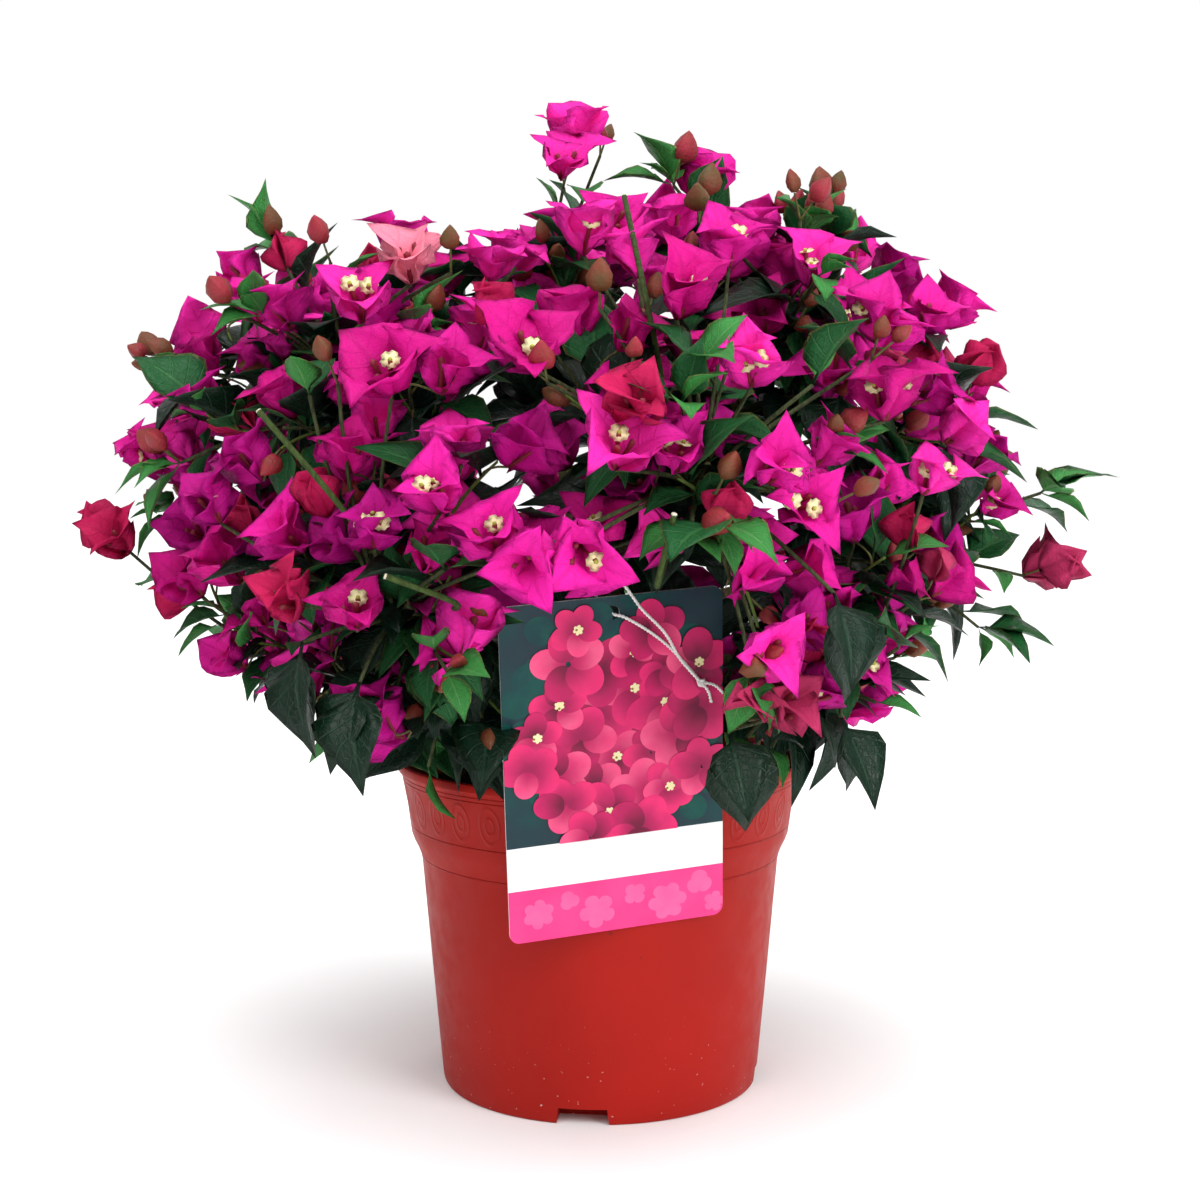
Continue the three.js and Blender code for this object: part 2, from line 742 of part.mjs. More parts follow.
add('pot', makePot(), 0xb5362c, 0.55);
add('potting_soil', makeSoil(), 0x3a2a20, 0.95);
add('trunk', trunk, 0x7d6a55, 0.85);
boughCurves.forEach((curve, mass) => {
  add(numbered('bough', mass), largest(makeBough(curve, 0).subtract(trunkSleeve)), 0x7f7358, 0.8);
});
growMasses().forEach((body, mass) => {
  add(numbered('foliage', mass), body, mass % 2 ? 0xc22b86 : 0xa82173, 0.7);
});
add('care_tag', makeTag(), 0xd9d6d0, 0.4);
add('tag_string', makeString(), 0xefeee9, 0.8);

export default group;
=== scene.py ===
import math

import bmesh
import bpy
import numpy as np
from mathutils import Matrix, Vector, noise


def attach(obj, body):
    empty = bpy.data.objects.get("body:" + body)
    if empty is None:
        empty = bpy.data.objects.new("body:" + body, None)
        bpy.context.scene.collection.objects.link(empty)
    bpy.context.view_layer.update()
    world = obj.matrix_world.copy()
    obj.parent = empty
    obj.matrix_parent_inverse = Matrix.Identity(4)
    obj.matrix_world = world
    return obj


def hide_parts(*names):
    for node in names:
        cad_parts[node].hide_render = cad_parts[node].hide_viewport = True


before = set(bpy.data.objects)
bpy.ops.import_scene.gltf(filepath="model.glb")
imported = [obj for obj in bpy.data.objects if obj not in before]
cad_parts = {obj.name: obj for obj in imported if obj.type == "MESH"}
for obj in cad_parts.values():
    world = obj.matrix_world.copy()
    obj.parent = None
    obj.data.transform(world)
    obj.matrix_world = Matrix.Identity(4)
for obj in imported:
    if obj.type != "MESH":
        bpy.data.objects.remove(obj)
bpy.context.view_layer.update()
print("frame loaded,", len(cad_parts), "nodes")

mm = 0.001
goldenAngle = math.pi * (3 - math.sqrt(5))
upward = np.array((0.0, 0.0, 1.0))
masses = ["foliage_%02d" % (i + 1) for i in range(12)]
boughs = ["bough_%02d" % (i + 1) for i in range(11)]
mapName = "leafMap"
seeds = {"crumbs": 31, "stems": 900, "leaders": 700, "front": 300, "shoots": 500, "stemLeaves": 40,
         "boughLeaves": 60, "print": 77}


# Small helpers for places and directions

def spot(x, y, z):
    return np.array((x, y, z), float)


def unit(v):
    return v / max(np.linalg.norm(v), 1e-12)


def sideways(along):
    return unit(np.cross(upward if abs(along[2]) < 0.9 else spot(1, 0, 0), along))


def towards(azimuth, height):
    turn, rise = math.radians(azimuth), math.radians(height)
    return spot(math.cos(rise) * math.cos(turn), math.cos(rise) * math.sin(turn), math.sin(rise))


def draws(seed):
    # a run of numbers from 0 to 1, the same every time for the same seed
    state = [((seed + 1) * 2654435761) & 0xFFFFFFFF]

    def draw():
        state[0] = (state[0] * 1664525 + 1013904223) & 0xFFFFFFFF
        return state[0] / 4294967296

    draw(), draw()
    return draw


def anySway(draw):
    return spot(draw() - 0.5, draw() - 0.5, draw() - 0.5)


def onLine(line, share):
    a, b, c = line
    return (1 - share) ** 2 * a + 2 * share * (1 - share) * b + share ** 2 * c


def alongLine(line, share):
    a, b, c = line
    return unit((1 - share) * (b - a) + share * (c - b))


def smoothPath(points, samples, closed=False):
    # a curve through the points, spaced by the square root of their distances
    points = [np.asarray(p, float) for p in points]
    count = len(points)
    if closed:
        ring = [points[i % count] for i in range(-1, count + 2)]
    else:
        ring = [2 * points[0] - points[1], *points, 2 * points[-1] - points[-2]]
    path = []
    for i in range(len(ring) - 3):
        p = ring[i:i + 4]
        t = [0.0]
        for a, b in zip(p, p[1:]):
            t.append(t[-1] + max(np.linalg.norm(b - a), 1e-9) ** 0.5)
        for k in range(samples):
            s = t[1] + (t[2] - t[1]) * k / samples
            a = [p[j] * (t[j + 1] - s) / (t[j + 1] - t[j]) + p[j + 1] * (s - t[j]) / (t[j + 1] - t[j])
                 for j in range(3)]
            b = [a[j] * (t[j + 2] - s) / (t[j + 2] - t[j]) + a[j + 1] * (s - t[j]) / (t[j + 2] - t[j])
                 for j in range(2)]
            path.append(b[0] * (t[2] - s) / (t[2] - t[1]) + b[1] * (s - t[1]) / (t[2] - t[1]))
    if not closed:
        path.append(points[-1])
    return np.array(path)


# Camera, light and floor

view = {
    "place": (0.0, -0.790, 0.267),
    "tilt": 85.3,
    "lens": 56.7,
    "sensor": 36,
    "clip": (0.01, 40),
}

camera = bpy.data.objects.new("camera", bpy.data.cameras.new("camera"))
bpy.context.scene.collection.objects.link(camera)
camera.location = view["place"]
camera.rotation_euler = (math.radians(view["tilt"]), 0, 0)
camera.data.lens = view["lens"]
camera.data.sensor_width = view["sensor"]
camera.data.clip_start, camera.data.clip_end = view["clip"]
bpy.context.scene.camera = camera

studio = {
    "sun": {"turn": (16, -2, 0), "angle": 70, "strength": 3.1},  # a wide soft light from above
    "lamps": [  # name, place, size, power, all aimed at the crown
        ("front left", (-1.1, -1.6, 1.0), 1.2, 4),
        ("front right", (1.3, -1.3, 0.9), 1.1, 22),
        ("behind left", (-1.0, 1.3, 1.1), 1.2, 3),
        ("behind right", (1.1, 1.2, 1.0), 1.2, 6),
    ],
    "aim": (0.0, 0.0, 0.2),
    "ambient": 0.36,
    "skyColour": (1, 1, 1, 1),
    "floorSize": 9,
    "floorPaint": {"Base Color": (0.95, 0.95, 0.95, 1), "Roughness": 0.9, "Specular IOR Level": 0.1},
}


def addLight(name, kind, energy):
    made = bpy.data.objects.new(name, bpy.data.lights.new(name, kind))
    made.data.energy = energy
    bpy.context.scene.collection.objects.link(made)
    return made


overhead = addLight("overhead", "SUN", studio["sun"]["strength"])
overhead.data.angle = math.radians(studio["sun"]["angle"])
overhead.rotation_euler = [math.radians(a) for a in studio["sun"]["turn"]]
for lampName, place, size, power in studio["lamps"]:
    lamp = addLight(lampName, "AREA", power)
    lamp.data.shape = "DISK"
    lamp.data.size = size
    lamp.location = place
    lamp.rotation_euler = (Vector(studio["aim"]) - Vector(place)).to_track_quat("-Z", "Y").to_euler()

# the camera sees a plain white sky, and the plant is lit by a dimmer one
world = bpy.data.worlds.new("studio")
bpy.context.scene.world = world
world.use_nodes = True
sky = world.node_tree
skyLight = sky.nodes["Background"]
skyLight.inputs["Color"].default_value = studio["skyColour"]
skyLight.inputs["Strength"].default_value = studio["ambient"]
skySeen = sky.nodes.new("ShaderNodeBackground")
skySeen.inputs["Color"].default_value = studio["skyColour"]
skyMix = sky.nodes.new("ShaderNodeMixShader")
skyPath = sky.nodes.new("ShaderNodeLightPath")
sky.links.new(skyPath.outputs["Is Camera Ray"], skyMix.inputs["Fac"])
sky.links.new(skyLight.outputs["Background"], skyMix.inputs[1])
sky.links.new(skySeen.outputs["Background"], skyMix.inputs[2])
sky.links.new(skyMix.outputs["Shader"], sky.nodes["World Output"].inputs["Surface"])
bpy.context.scene.view_settings.view_transform = "Standard"
bpy.context.scene.view_settings.look = "None"


def addObject(name, mesh):
    made = bpy.data.objects.new(name, mesh)
    bpy.context.scene.collection.objects.link(made)
    return made


def objectFrom(bm, name):
    mesh = bpy.data.meshes.new(name)
    bm.to_mesh(mesh)
    bm.free()
    return addObject(name, mesh)


bm = bmesh.new()
bmesh.ops.create_grid(bm, x_segments=2, y_segments=2, size=studio["floorSize"])
floor = objectFrom(bm, "floor")
floorPaint = bpy.data.materials.new("floor paint")
floorPaint.use_nodes = True
for label, value in studio["floorPaint"].items():
    floorPaint.node_tree.nodes["Principled BSDF"].inputs[label].default_value = value
floor.data.materials.append(floorPaint)
print("camera, light and floor ready")


# Materials: shared groups first

def node(tree, kind, **settings):
    made = tree.nodes.new("ShaderNode" + kind)
    for key, value in settings.items():
        setattr(made, key, value)
    return made


def feed(tree, socket, value):
    if isinstance(value, bpy.types.NodeSocket):
        tree.links.new(value, socket)
    elif value is not None:
        socket.default_value = value


def calc(tree, operation, a, b=None, c=None, clamp=False):
    made = node(tree, "Math", operation=operation, use_clamp=clamp)
    for socket, value in zip(made.inputs, (a, b, c)):
        feed(tree, socket, value)
    return made.outputs[0]


def times(tree, a, b):
    return calc(tree, "MULTIPLY", a, b)


def remap(tree, value, low, high, toLow=0.0, toHigh=1.0, smooth=True):
    made = node(tree, "MapRange", interpolation_type="SMOOTHSTEP" if smooth else "LINEAR")
    for name, v in (("Value", value), ("From Min", low), ("From Max", high),
                    ("To Min", toLow), ("To Max", toHigh)):
        feed(tree, made.inputs[name], v)
    return made.outputs["Result"]


def blendColours(tree, share, a, b):
    made = node(tree, "Mix", data_type="RGBA")
    for socket, value in ((0, share), (6, a), (7, b)):
        feed(tree, made.inputs[socket], value)
    return made.outputs[2]


def objectPlace(tree):
    return node(tree, "TexCoord").outputs["Object"]


def apart(tree, place):
    # the three coordinates of a place
    made = node(tree, "SeparateXYZ")
    feed(tree, made.inputs[0], place)
    return made.outputs


def newGroup(name, inputs, outputs):
    group = bpy.data.node_groups.new(name, "ShaderNodeTree")
    for label, value in inputs:
        made = group.interface.new_socket(name=label, in_out="INPUT", socket_type="NodeSocketFloat")
        made.default_value = value
    for label in outputs:
        group.interface.new_socket(name=label, in_out="OUTPUT", socket_type="NodeSocketFloat")
    return group, group.nodes.new("NodeGroupInput").outputs, group.nodes.new("NodeGroupOutput").inputs


def useGroup(tree, group, **values):
    made = node(tree, "Group", node_tree=group)
    for label, value in values.items():
        feed(tree, made.inputs[label], value)
    return made.outputs


# Veins of a leaf or bract, from its own map: x runs across it and y from root to tip
veins, into, out = newGroup("leaf veins", [("Pairs", 6.0), ("Slope", 1.6), ("Net", 26.0)],
                            ["Ribs", "Mesh", "Edge"])
onBlade = apart(veins, node(veins, "UVMap", uv_map=mapName).outputs["UV"])
offRib = calc(veins, "ABSOLUTE", calc(veins, "MULTIPLY_ADD", onBlade["X"], 2.0, -1.0))
along = onBlade["Y"]
midrib = remap(veins, offRib, 0.03, 0.12, 1.0, 0.0)
phase = calc(veins, "SUBTRACT", times(veins, along, into["Pairs"]), times(veins, offRib, into["Slope"]))
wave = calc(veins, "COSINE", times(veins, phase, 2 * math.pi))
sideVeins = times(veins, remap(veins, wave, 0.86, 1.0), remap(veins, offRib, 0.75, 1.0, 0.75, 0.0))
feed(veins, out["Ribs"], calc(veins, "MAXIMUM", midrib, sideVeins))
netPlace = node(veins, "CombineXYZ")
feed(veins, netPlace.inputs[0], offRib)
feed(veins, netPlace.inputs[1], times(veins, along, 2.4))
cells = node(veins, "TexVoronoi", feature="DISTANCE_TO_EDGE")
feed(veins, cells.inputs["Vector"], netPlace.outputs[0])
feed(veins, cells.inputs["Scale"], times(veins, into["Net"], 0.25))
feed(veins, out["Mesh"], remap(veins, cells.outputs["Distance"], 0.02, 0.14, 1.0, 0.0))
feed(veins, out["Edge"], remap(veins, offRib, 0.86, 0.98))

# Soft patches of tone over a whole piece
patches, into, out = newGroup("tone patches", [("Scale", 30.0), ("Detail", 3.0)], ["Tone", "Fine"])
patchPlace = objectPlace(patches)
for label, factor in (("Tone", 1.0), ("Fine", 9.0)):
    cloud = node(patches, "TexNoise")
    feed(patches, cloud.inputs["Vector"], patchPlace)
    feed(patches, cloud.inputs["Scale"], times(patches, into["Scale"], factor))
    feed(patches, cloud.inputs["Detail"], into["Detail"])
    feed(patches, out[label], remap(patches, cloud.outputs["Fac"], 0.3, 0.7, smooth=False))

# Small specks and dust where the noise is high
specks, into, out = newGroup("specks", [("Scale", 400.0), ("Least", 0.7)], ["Mask"])
dots = node(specks, "TexNoise")
feed(specks, dots.inputs["Vector"], objectPlace(specks))
feed(specks, dots.inputs["Scale"], into["Scale"])
dots.inputs["Detail"].default_value = 2
sure = calc(specks, "ADD", into["Least"], 0.04)
feed(specks, out["Mask"], remap(specks, dots.outputs["Fac"], into["Least"], sure))


def newMaterial(name, roughness, gloss):
    made = bpy.data.materials.new(name)
    made.use_nodes = True
    surface = made.node_tree.nodes["Principled BSDF"].inputs
    surface["Roughness"].default_value = roughness
    surface["Specular IOR Level"].default_value = gloss
    return made, made.node_tree, surface


def rgba(colour, factor=1.0):
    return tuple(min(c * factor, 1.0) for c in colour) + (1.0,)


def toned(tree, share, colour, low, high):
    # a colour that goes from darker to lighter with the share
    return blendColours(tree, share, rgba(colour, low), rgba(colour, high))


def giveFinish(tree, surface, base, grain, roughness):
    # base colour, and a roughness that follows the grain
    feed(tree, surface["Base Color"], base)
    feed(tree, surface["Roughness"], remap(tree, grain, 0.0, 1.0, *roughness))


def giveRelief(tree, surface, height, depth, strength):
    made = node(tree, "Bump")
    made.inputs["Strength"].default_value = strength
    made.inputs["Distance"].default_value = depth
    feed(tree, made.inputs["Height"], height)
    feed(tree, surface["Normal"], made.outputs["Normal"])


def papery(name, colour, vein):
    # a bract: thin, matt, with faint darker veins and soft patches
    made, tree, surface = newMaterial(name, 0.6, 0.12)
    rib = useGroup(tree, veins, Pairs=5.0, Slope=1.1, Net=30.0)
    tone = useGroup(tree, patches, Scale=38.0)
    dark = calc(tree, "ADD", times(tree, rib["Ribs"], 0.26), times(tree, rib["Mesh"], 0.12), clamp=True)
    base = blendColours(tree, dark, toned(tree, tone["Tone"], colour, 0.84, 1.1), rgba(vein))
    giveFinish(tree, surface, base, rib["Mesh"], (0.55, 0.68))
    giveRelief(tree, surface, calc(tree, "ADD", rib["Ribs"], times(tree, rib["Mesh"], 0.35)), 0.0004, 0.5)
    return made


def leathery(name, colour, vein, rim, roughness=0.4, gloss=0.16):
    # a leaf: smooth and a little glossy, with a paler midrib and edge
    made, tree, surface = newMaterial(name, roughness, gloss)
    rib = useGroup(tree, veins, Pairs=6.0, Slope=1.5, Net=24.0)
    tone = useGroup(tree, patches, Scale=30.0)
    base = toned(tree, tone["Tone"], colour, 0.82, 1.2)
    base = blendColours(tree, times(tree, rib["Ribs"], 0.4), base, rgba(vein))
    base = blendColours(tree, times(tree, rib["Edge"], 0.6), base, rgba(rim))
    giveFinish(tree, surface, base, tone["Fine"], (roughness - 0.05, roughness + 0.12))
    giveRelief(tree, surface, calc(tree, "SUBTRACT", times(tree, rib["Mesh"], 0.3), rib["Ribs"]), 0.0007, 0.7)
    return made


def barky(name, colour, crevice, scale=60.0, depth=0.0012):
    # bark: fine fibres drawn out along the height, with paler patches
    made, tree, surface = newMaterial(name, 0.8, 0.25)
    place = node(tree, "Mapping")
    feed(tree, place.inputs["Vector"], objectPlace(tree))
    place.inputs["Scale"].default_value = (1, 1, 0.28)
    grain = node(tree, "TexNoise")
    feed(tree, grain.inputs["Vector"], place.outputs[0])
    grain.inputs["Scale"].default_value = scale * 7
    grain.inputs["Detail"].default_value = 5
    tone = useGroup(tree, patches, Scale=scale)
    fibre = remap(tree, grain.outputs["Fac"], 0.35, 0.65)
    base = blendColours(tree, fibre, rgba(crevice), rgba(colour))
    base = blendColours(tree, times(tree, tone["Tone"], 0.5), base, rgba(colour, 1.35))
    giveFinish(tree, surface, base, fibre, (0.92, 0.7))
    giveRelief(tree, surface, fibre, depth, 0.8)
    return made


def fleshy(name, colour, other, roughness=0.5):
    # buds and small flowers: two near tones in small patches
    made, tree, surface = newMaterial(name, roughness, 0.35)
    tone = useGroup(tree, patches, Scale=120.0)
    base = blendColours(tree, tone["Tone"], rgba(colour), rgba(other))
    giveFinish(tree, surface, base, tone["Fine"], (roughness, roughness + 0.15))
    giveRelief(tree, surface, tone["Fine"], 0.0003, 0.5)
    return made


print("material groups ready")


# The pot

pot = {
    "outside": [(0, 0), (60, 0), (65.1, 0), (66.0, 0.35), (66.5, 1.4), (67.0, 6), (71.0, 50), (74.9, 94.2),
                (75.5, 97.0), (76.7, 100.2), (78.4, 103.6), (79.3, 106.2), (79.6, 108.4), (80.9, 118),
                (83.3, 130.4), (83.7, 131.5), (84.5, 132.0), (85.0, 132.9), (85.0, 134.8), (84.6, 135.6),
                (83.8, 136), (82.9, 135.9)],
    "inside": [(82.2, 135.2), (81.7, 131.5), (77.7, 108.2), (73.2, 98), (68.9, 50), (65.0, 10.4), (63.8, 9),
               (0, 8.9)],
    "steps": 160,
    "notches": 4,
    "notchAzimuth": -96,
    "notch": (21.5, 19.5, 6.7, 53.5, 72.5),  # width, top width, height, from and to radius
    "colour": (0.335, 0.010, 0.006),
    "speckColour": (0.06, 0.012, 0.01, 1),
    "scuffColour": (0.75, 0.62, 0.58, 1),
    "ovals": 34,
    "ovalHalf": (4.6, 7.2),  # half the width and height of a ring in the rim's relief
    "ovalRings": ((1.0, 0.2), (0.45, 0.16)),  # where its two lines run, and how soft they are
    "bandMiddle": 119.5,
    "bandRadius": 81.5,
    "bandLines": (130.4, 128.6, 109.6, 96.4),  # heights of the fine lines round the pot
    "lineHalf": 0.5,
    "footRim": (0.5, 4.5),  # heights that the worn foot and the scuffed low wall fade over
    "lowWall": (4, 52),
}


def spun(profile, steps):
    bm = bmesh.new()
    corners = [bm.verts.new((r * mm, 0, z * mm)) for r, z in profile]
    edges = [bm.edges.new(pair) for pair in zip(corners, corners[1:])]
    bmesh.ops.spin(bm, geom=corners + edges, cent=(0, 0, 0), axis=(0, 0, 1), angle=2 * math.pi,
                   steps=steps, use_merge=True)
    bmesh.ops.remove_doubles(bm, verts=bm.verts[:], dist=1e-6)
    bmesh.ops.dissolve_degenerate(bm, edges=bm.edges[:], dist=1e-7)
    bmesh.ops.recalc_face_normals(bm, faces=bm.faces[:])
    return bm


def settle(made, angle=35):
    # smooth shading with crisp corners past an angle
    made.data.polygons.foreach_set("use_smooth", [True] * len(made.data.polygons))
    made.data.set_sharp_from_angle(angle=math.radians(angle))
    return made


def cutOut(made, cutter):
    # takes the cutter's space out of an object's mesh
    cut = made.modifiers.new("cut", "BOOLEAN")
    cut.object = cutter
    cut.operation = "DIFFERENCE"
    cut.solver = "EXACT"
    mesh = bpy.data.meshes.new_from_object(made.evaluated_get(bpy.context.evaluated_depsgraph_get()))
    made.modifiers.clear()
    made.data = mesh
    bpy.data.objects.remove(cutter)


potShell = objectFrom(spun(pot["outside"] + pot["inside"], pot["steps"]), "nursery_pot")
bm = bmesh.new()
width, topWidth, height, fromRadius, toRadius = pot["notch"]
for i in range(pot["notches"]):
    block = bmesh.ops.create_cube(bm, size=1)["verts"]
    for v in block:
        wide = topWidth if v.co.z > 0 else width
        v.co = Vector((fromRadius if v.co.x < 0 else toRadius, v.co.y * wide,
                       height if v.co.z > 0 else -2)) * mm
    turn = Matrix.Rotation(math.radians(pot["notchAzimuth"] + 360 * i / pot["notches"]), 4, "Z")
    bmesh.ops.transform(bm, matrix=turn, verts=block)
cutOut(potShell, objectFrom(bm, "notch_cutter"))
settle(potShell, 28)


def pulse(tree, value, middle, half):
    # 1 at the middle, falling to 0 at either side
    return remap(tree, calc(tree, "ABSOLUTE", calc(tree, "SUBTRACT", value, middle)), 0.0, half, 1.0, 0.0)


potPlastic, tree, surface = newMaterial("moulded pot plastic", 0.46, 0.12)
place = apart(tree, objectPlace(tree))
ovalTurn = times(tree, calc(tree, "ARCTAN2", place["Y"], place["X"]), pot["ovals"] / (2 * math.pi))
cell = calc(tree, "SUBTRACT", calc(tree, "FRACT", ovalTurn), 0.5)
pitch = 2 * math.pi * pot["bandRadius"] / pot["ovals"]
across = times(tree, cell, pitch / pot["ovalHalf"][0])
rise = calc(tree, "SUBTRACT", place["Z"], pot["bandMiddle"] * mm)
rise = calc(tree, "DIVIDE", rise, pot["ovalHalf"][1] * mm)
away = calc(tree, "SQRT", calc(tree, "ADD", times(tree, across, across), times(tree, rise, rise)))
outer, inner = (pulse(tree, away, middle, half) for middle, half in pot["ovalRings"])
reliefAndShade = times(tree, calc(tree, "MAXIMUM", outer, inner), 0.6)
for lineHeight in pot["bandLines"]:
    line = pulse(tree, place["Z"], lineHeight * mm, pot["lineHalf"] * mm)
    reliefAndShade = calc(tree, "MAXIMUM", reliefAndShade, line)
tone = useGroup(tree, patches, Scale=14.0)
paleSpeck = useGroup(tree, specks, Scale=620.0, Least=0.72)["Mask"]
darkSpeck = useGroup(tree, specks, Scale=210.0, Least=0.76)["Mask"]
footRim = remap(tree, place["Z"], pot["footRim"][0] * mm, pot["footRim"][1] * mm, 1.0, 0.0)
lowWall = remap(tree, place["Z"], pot["lowWall"][0] * mm, pot["lowWall"][1] * mm, 0.5, 0.0)
worn = calc(tree, "MAXIMUM", times(tree, footRim, 2.0), lowWall)
base = toned(tree, tone["Tone"], pot["colour"], 0.9, 1.1)
# painted shade: the relief's rings and lines are darkened in the colour as well as raised in the bump
base = blendColours(tree, times(tree, reliefAndShade, 0.12), base, rgba(pot["colour"], 0.55))
base = blendColours(tree, times(tree, darkSpeck, 0.35), base, pot["speckColour"])
base = blendColours(tree, calc(tree, "MULTIPLY", paleSpeck, worn, clamp=True), base, pot["scuffColour"])
giveFinish(tree, surface, base, tone["Fine"], (0.42, 0.55))
giveRelief(tree, surface, calc(tree, "ADD", reliefAndShade, times(tree, tone["Fine"], 0.05)), 0.0006, 0.8)
potShell.data.materials.append(potPlastic)
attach(potShell, "root")
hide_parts("pot")
print("pot ready")


# The soil

soil = {
    "profile": [(0, 9.4), (63.2, 9.4), (64.6, 11), (72.6, 98), (77.2, 108.6)],  # up the inside of the pot
    "steps": 120,
    "rings": 34,
    "level": 122.4,
    "mound": 3.2,
    "moundRadius": 30,
    "brim": 79.6,
    "lumps": 1.7,
    "crumbs": 420,
    "colour": (0.030, 0.017, 0.010),
    "fibreColour": (0.16, 0.095, 0.05, 1),
}


def moundAt(radius):
    return soil["mound"] * max(0.0, 1 - radius / soil["moundRadius"]) ** 0.7


profile = soil["profile"] + [(soil["brim"], soil["level"] - 1)]
profile += [(soil["brim"] * (1 - k / soil["rings"]), soil["level"]) for k in range(soil["rings"] + 1)]
bm = spun(profile, soil["steps"])
for v in bm.verts:
    radius = math.hypot(v.co.x, v.co.y) / mm
    if v.co.z > (soil["level"] - 0.5) * mm:
        rough = noise.fractal(v.co * 90, 0.8, 2.1, 4) + 0.5 * noise.noise(v.co * 420)
        v.co.z += (moundAt(radius) + soil["lumps"] * rough * min(1, (soil["brim"] - radius) / 2 + 0.2)) * mm
soilBody = settle(objectFrom(bm, "peat_soil"), 180)

peat, tree, surface = newMaterial("moist peat", 0.9, 0.2)
tone = useGroup(tree, patches, Scale=160.0)
fibre = useGroup(tree, specks, Scale=520.0, Least=0.6)["Mask"]
base = toned(tree, tone["Tone"], soil["colour"], 0.5, 1.7)
base = blendColours(tree, times(tree, fibre, 0.6), base, soil["fibreColour"])
giveFinish(tree, surface, base, tone["Fine"], (0.82, 0.98))
giveRelief(tree, surface, tone["Fine"], 0.0012, 0.9)
soilBody.data.materials.append(peat)
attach(soilBody, "root")
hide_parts("potting_soil")


# Shapes that are repeated many times: each is made once, and arrays put the copies together

shapes, planted = {}, {}


def keepShape(name, bm):
    layer = bm.loops.layers.uv.get(mapName) or bm.loops.layers.uv.new(mapName)
    bm.verts.index_update()
    shapes[name] = {
        "corners": np.array([v.co[:] for v in bm.verts]),
        "loops": np.concatenate([[v.index for v in f.verts] for f in bm.faces]),
        "sizes": np.array([len(f.verts) for f in bm.faces]),
        "map": np.array([loop[layer].uv[:] for f in bm.faces for loop in f.loops]),
    }
    bm.free()


def blade(name, spec, turn=0.0):
    # a thin closed blade from its root at 0 to its tip at y 1, its upper face towards z
    bm = bmesh.new()
    layer = bm.loops.layers.uv.new(mapName)
    bmesh.ops.create_grid(bm, x_segments=spec["across"], y_segments=spec["along"], size=0.5)
    for f in bm.faces:
        for loop in f.loops:
            loop[layer].uv = (loop.vert.co.x + 0.5, loop.vert.co.y + 0.5)
    shares, halves = zip(*spec["outline"])
    for v in bm.verts:
        u, t = v.co.x * 2, v.co.y + 0.5
        half = float(np.interp(t, shares, halves)) * spec["width"] / 2
        edge = abs(u) ** 1.5 * half / (spec["width"] / 2)
        wave = math.sin(2 * math.pi * spec["waves"] * t + turn + (2.1 if u > 0 else 0))
        lift = (spec["fold"] * abs(u) + spec["cup"] * u * u) * half + spec["arch"] * math.sin(math.pi * t)
        lift -= spec["droop"] * t * t
        lift += spec["ruffle"] * wave * edge + spec["twist"] * u * half * t
        lift -= spec["curl"] * max(0.0, (t - 0.55) / 0.45) ** 2
        sway = spec["sway"] * math.sin(math.pi * t + turn) * t
        v.co = (u * half * (1 + 0.05 * wave * abs(u)) + sway, t, lift)
    copied = bmesh.ops.duplicate(bm, geom=bm.verts[:] + bm.edges[:] + bm.faces[:])
    under = [g for g in copied["geom"] if isinstance(g, bmesh.types.BMFace)]
    for v in (g for g in copied["geom"] if isinstance(g, bmesh.types.BMVert) and not g.is_boundary):
        v.co.z -= spec["thick"]
    bmesh.ops.reverse_faces(bm, faces=under)
    bmesh.ops.remove_doubles(bm, verts=bm.verts[:], dist=1e-4)
    bmesh.ops.dissolve_degenerate(bm, edges=bm.edges[:], dist=1e-5)
    keepShape(name, bm)


def plant(piece, shape, root, forward, face, size, width=1.0):
    # puts a copy of a shape at its root, with y forward and z towards the face's side
    y = unit(forward)
    z = unit(face - y * (face @ y))
    x = np.cross(y, z)
    matrix = np.column_stack((x * size * width, y * size, z * size, root))
    planted.setdefault(piece, []).append((shape, matrix))


def meshFrom(name, parts, smooth=True):
    # one mesh out of many parts, each with its corners, loops, face sizes and map
    starts = np.cumsum([0] + [len(p["corners"]) for p in parts])
    mesh = bpy.data.meshes.new(name)
    corners = np.concatenate([p["corners"] for p in parts]).astype(np.float32)
    loops = np.concatenate([p["loops"] + start for p, start in zip(parts, starts)]).astype(np.int32)
    sizes = np.concatenate([p["sizes"] for p in parts]).astype(np.int32)
    mesh.vertices.add(len(corners))
    mesh.vertices.foreach_set("co", corners.ravel())
    mesh.loops.add(len(loops))
    mesh.loops.foreach_set("vertex_index", loops)
    mesh.polygons.add(len(sizes))
    mesh.polygons.foreach_set("loop_start", (np.cumsum(sizes) - sizes).astype(np.int32))
    mesh.update(calc_edges=True)
    layer = mesh.uv_layers.new(name=mapName)
    layer.data.foreach_set("uv", np.concatenate([p["map"] for p in parts]).astype(np.float32).ravel())
    mesh.polygons.foreach_set("use_smooth", [smooth] * len(sizes))
    mesh.validate()
    return addObject(name, mesh)


def gather(piece, smooth=True):
    parts = []
    for shape, matrix in planted[piece]:
        part = dict(shapes[shape])
        part["corners"] = part["corners"] @ matrix[:, :3].T + matrix[:, 3]
        parts.append(part)
    return meshFrom(piece, parts, smooth)


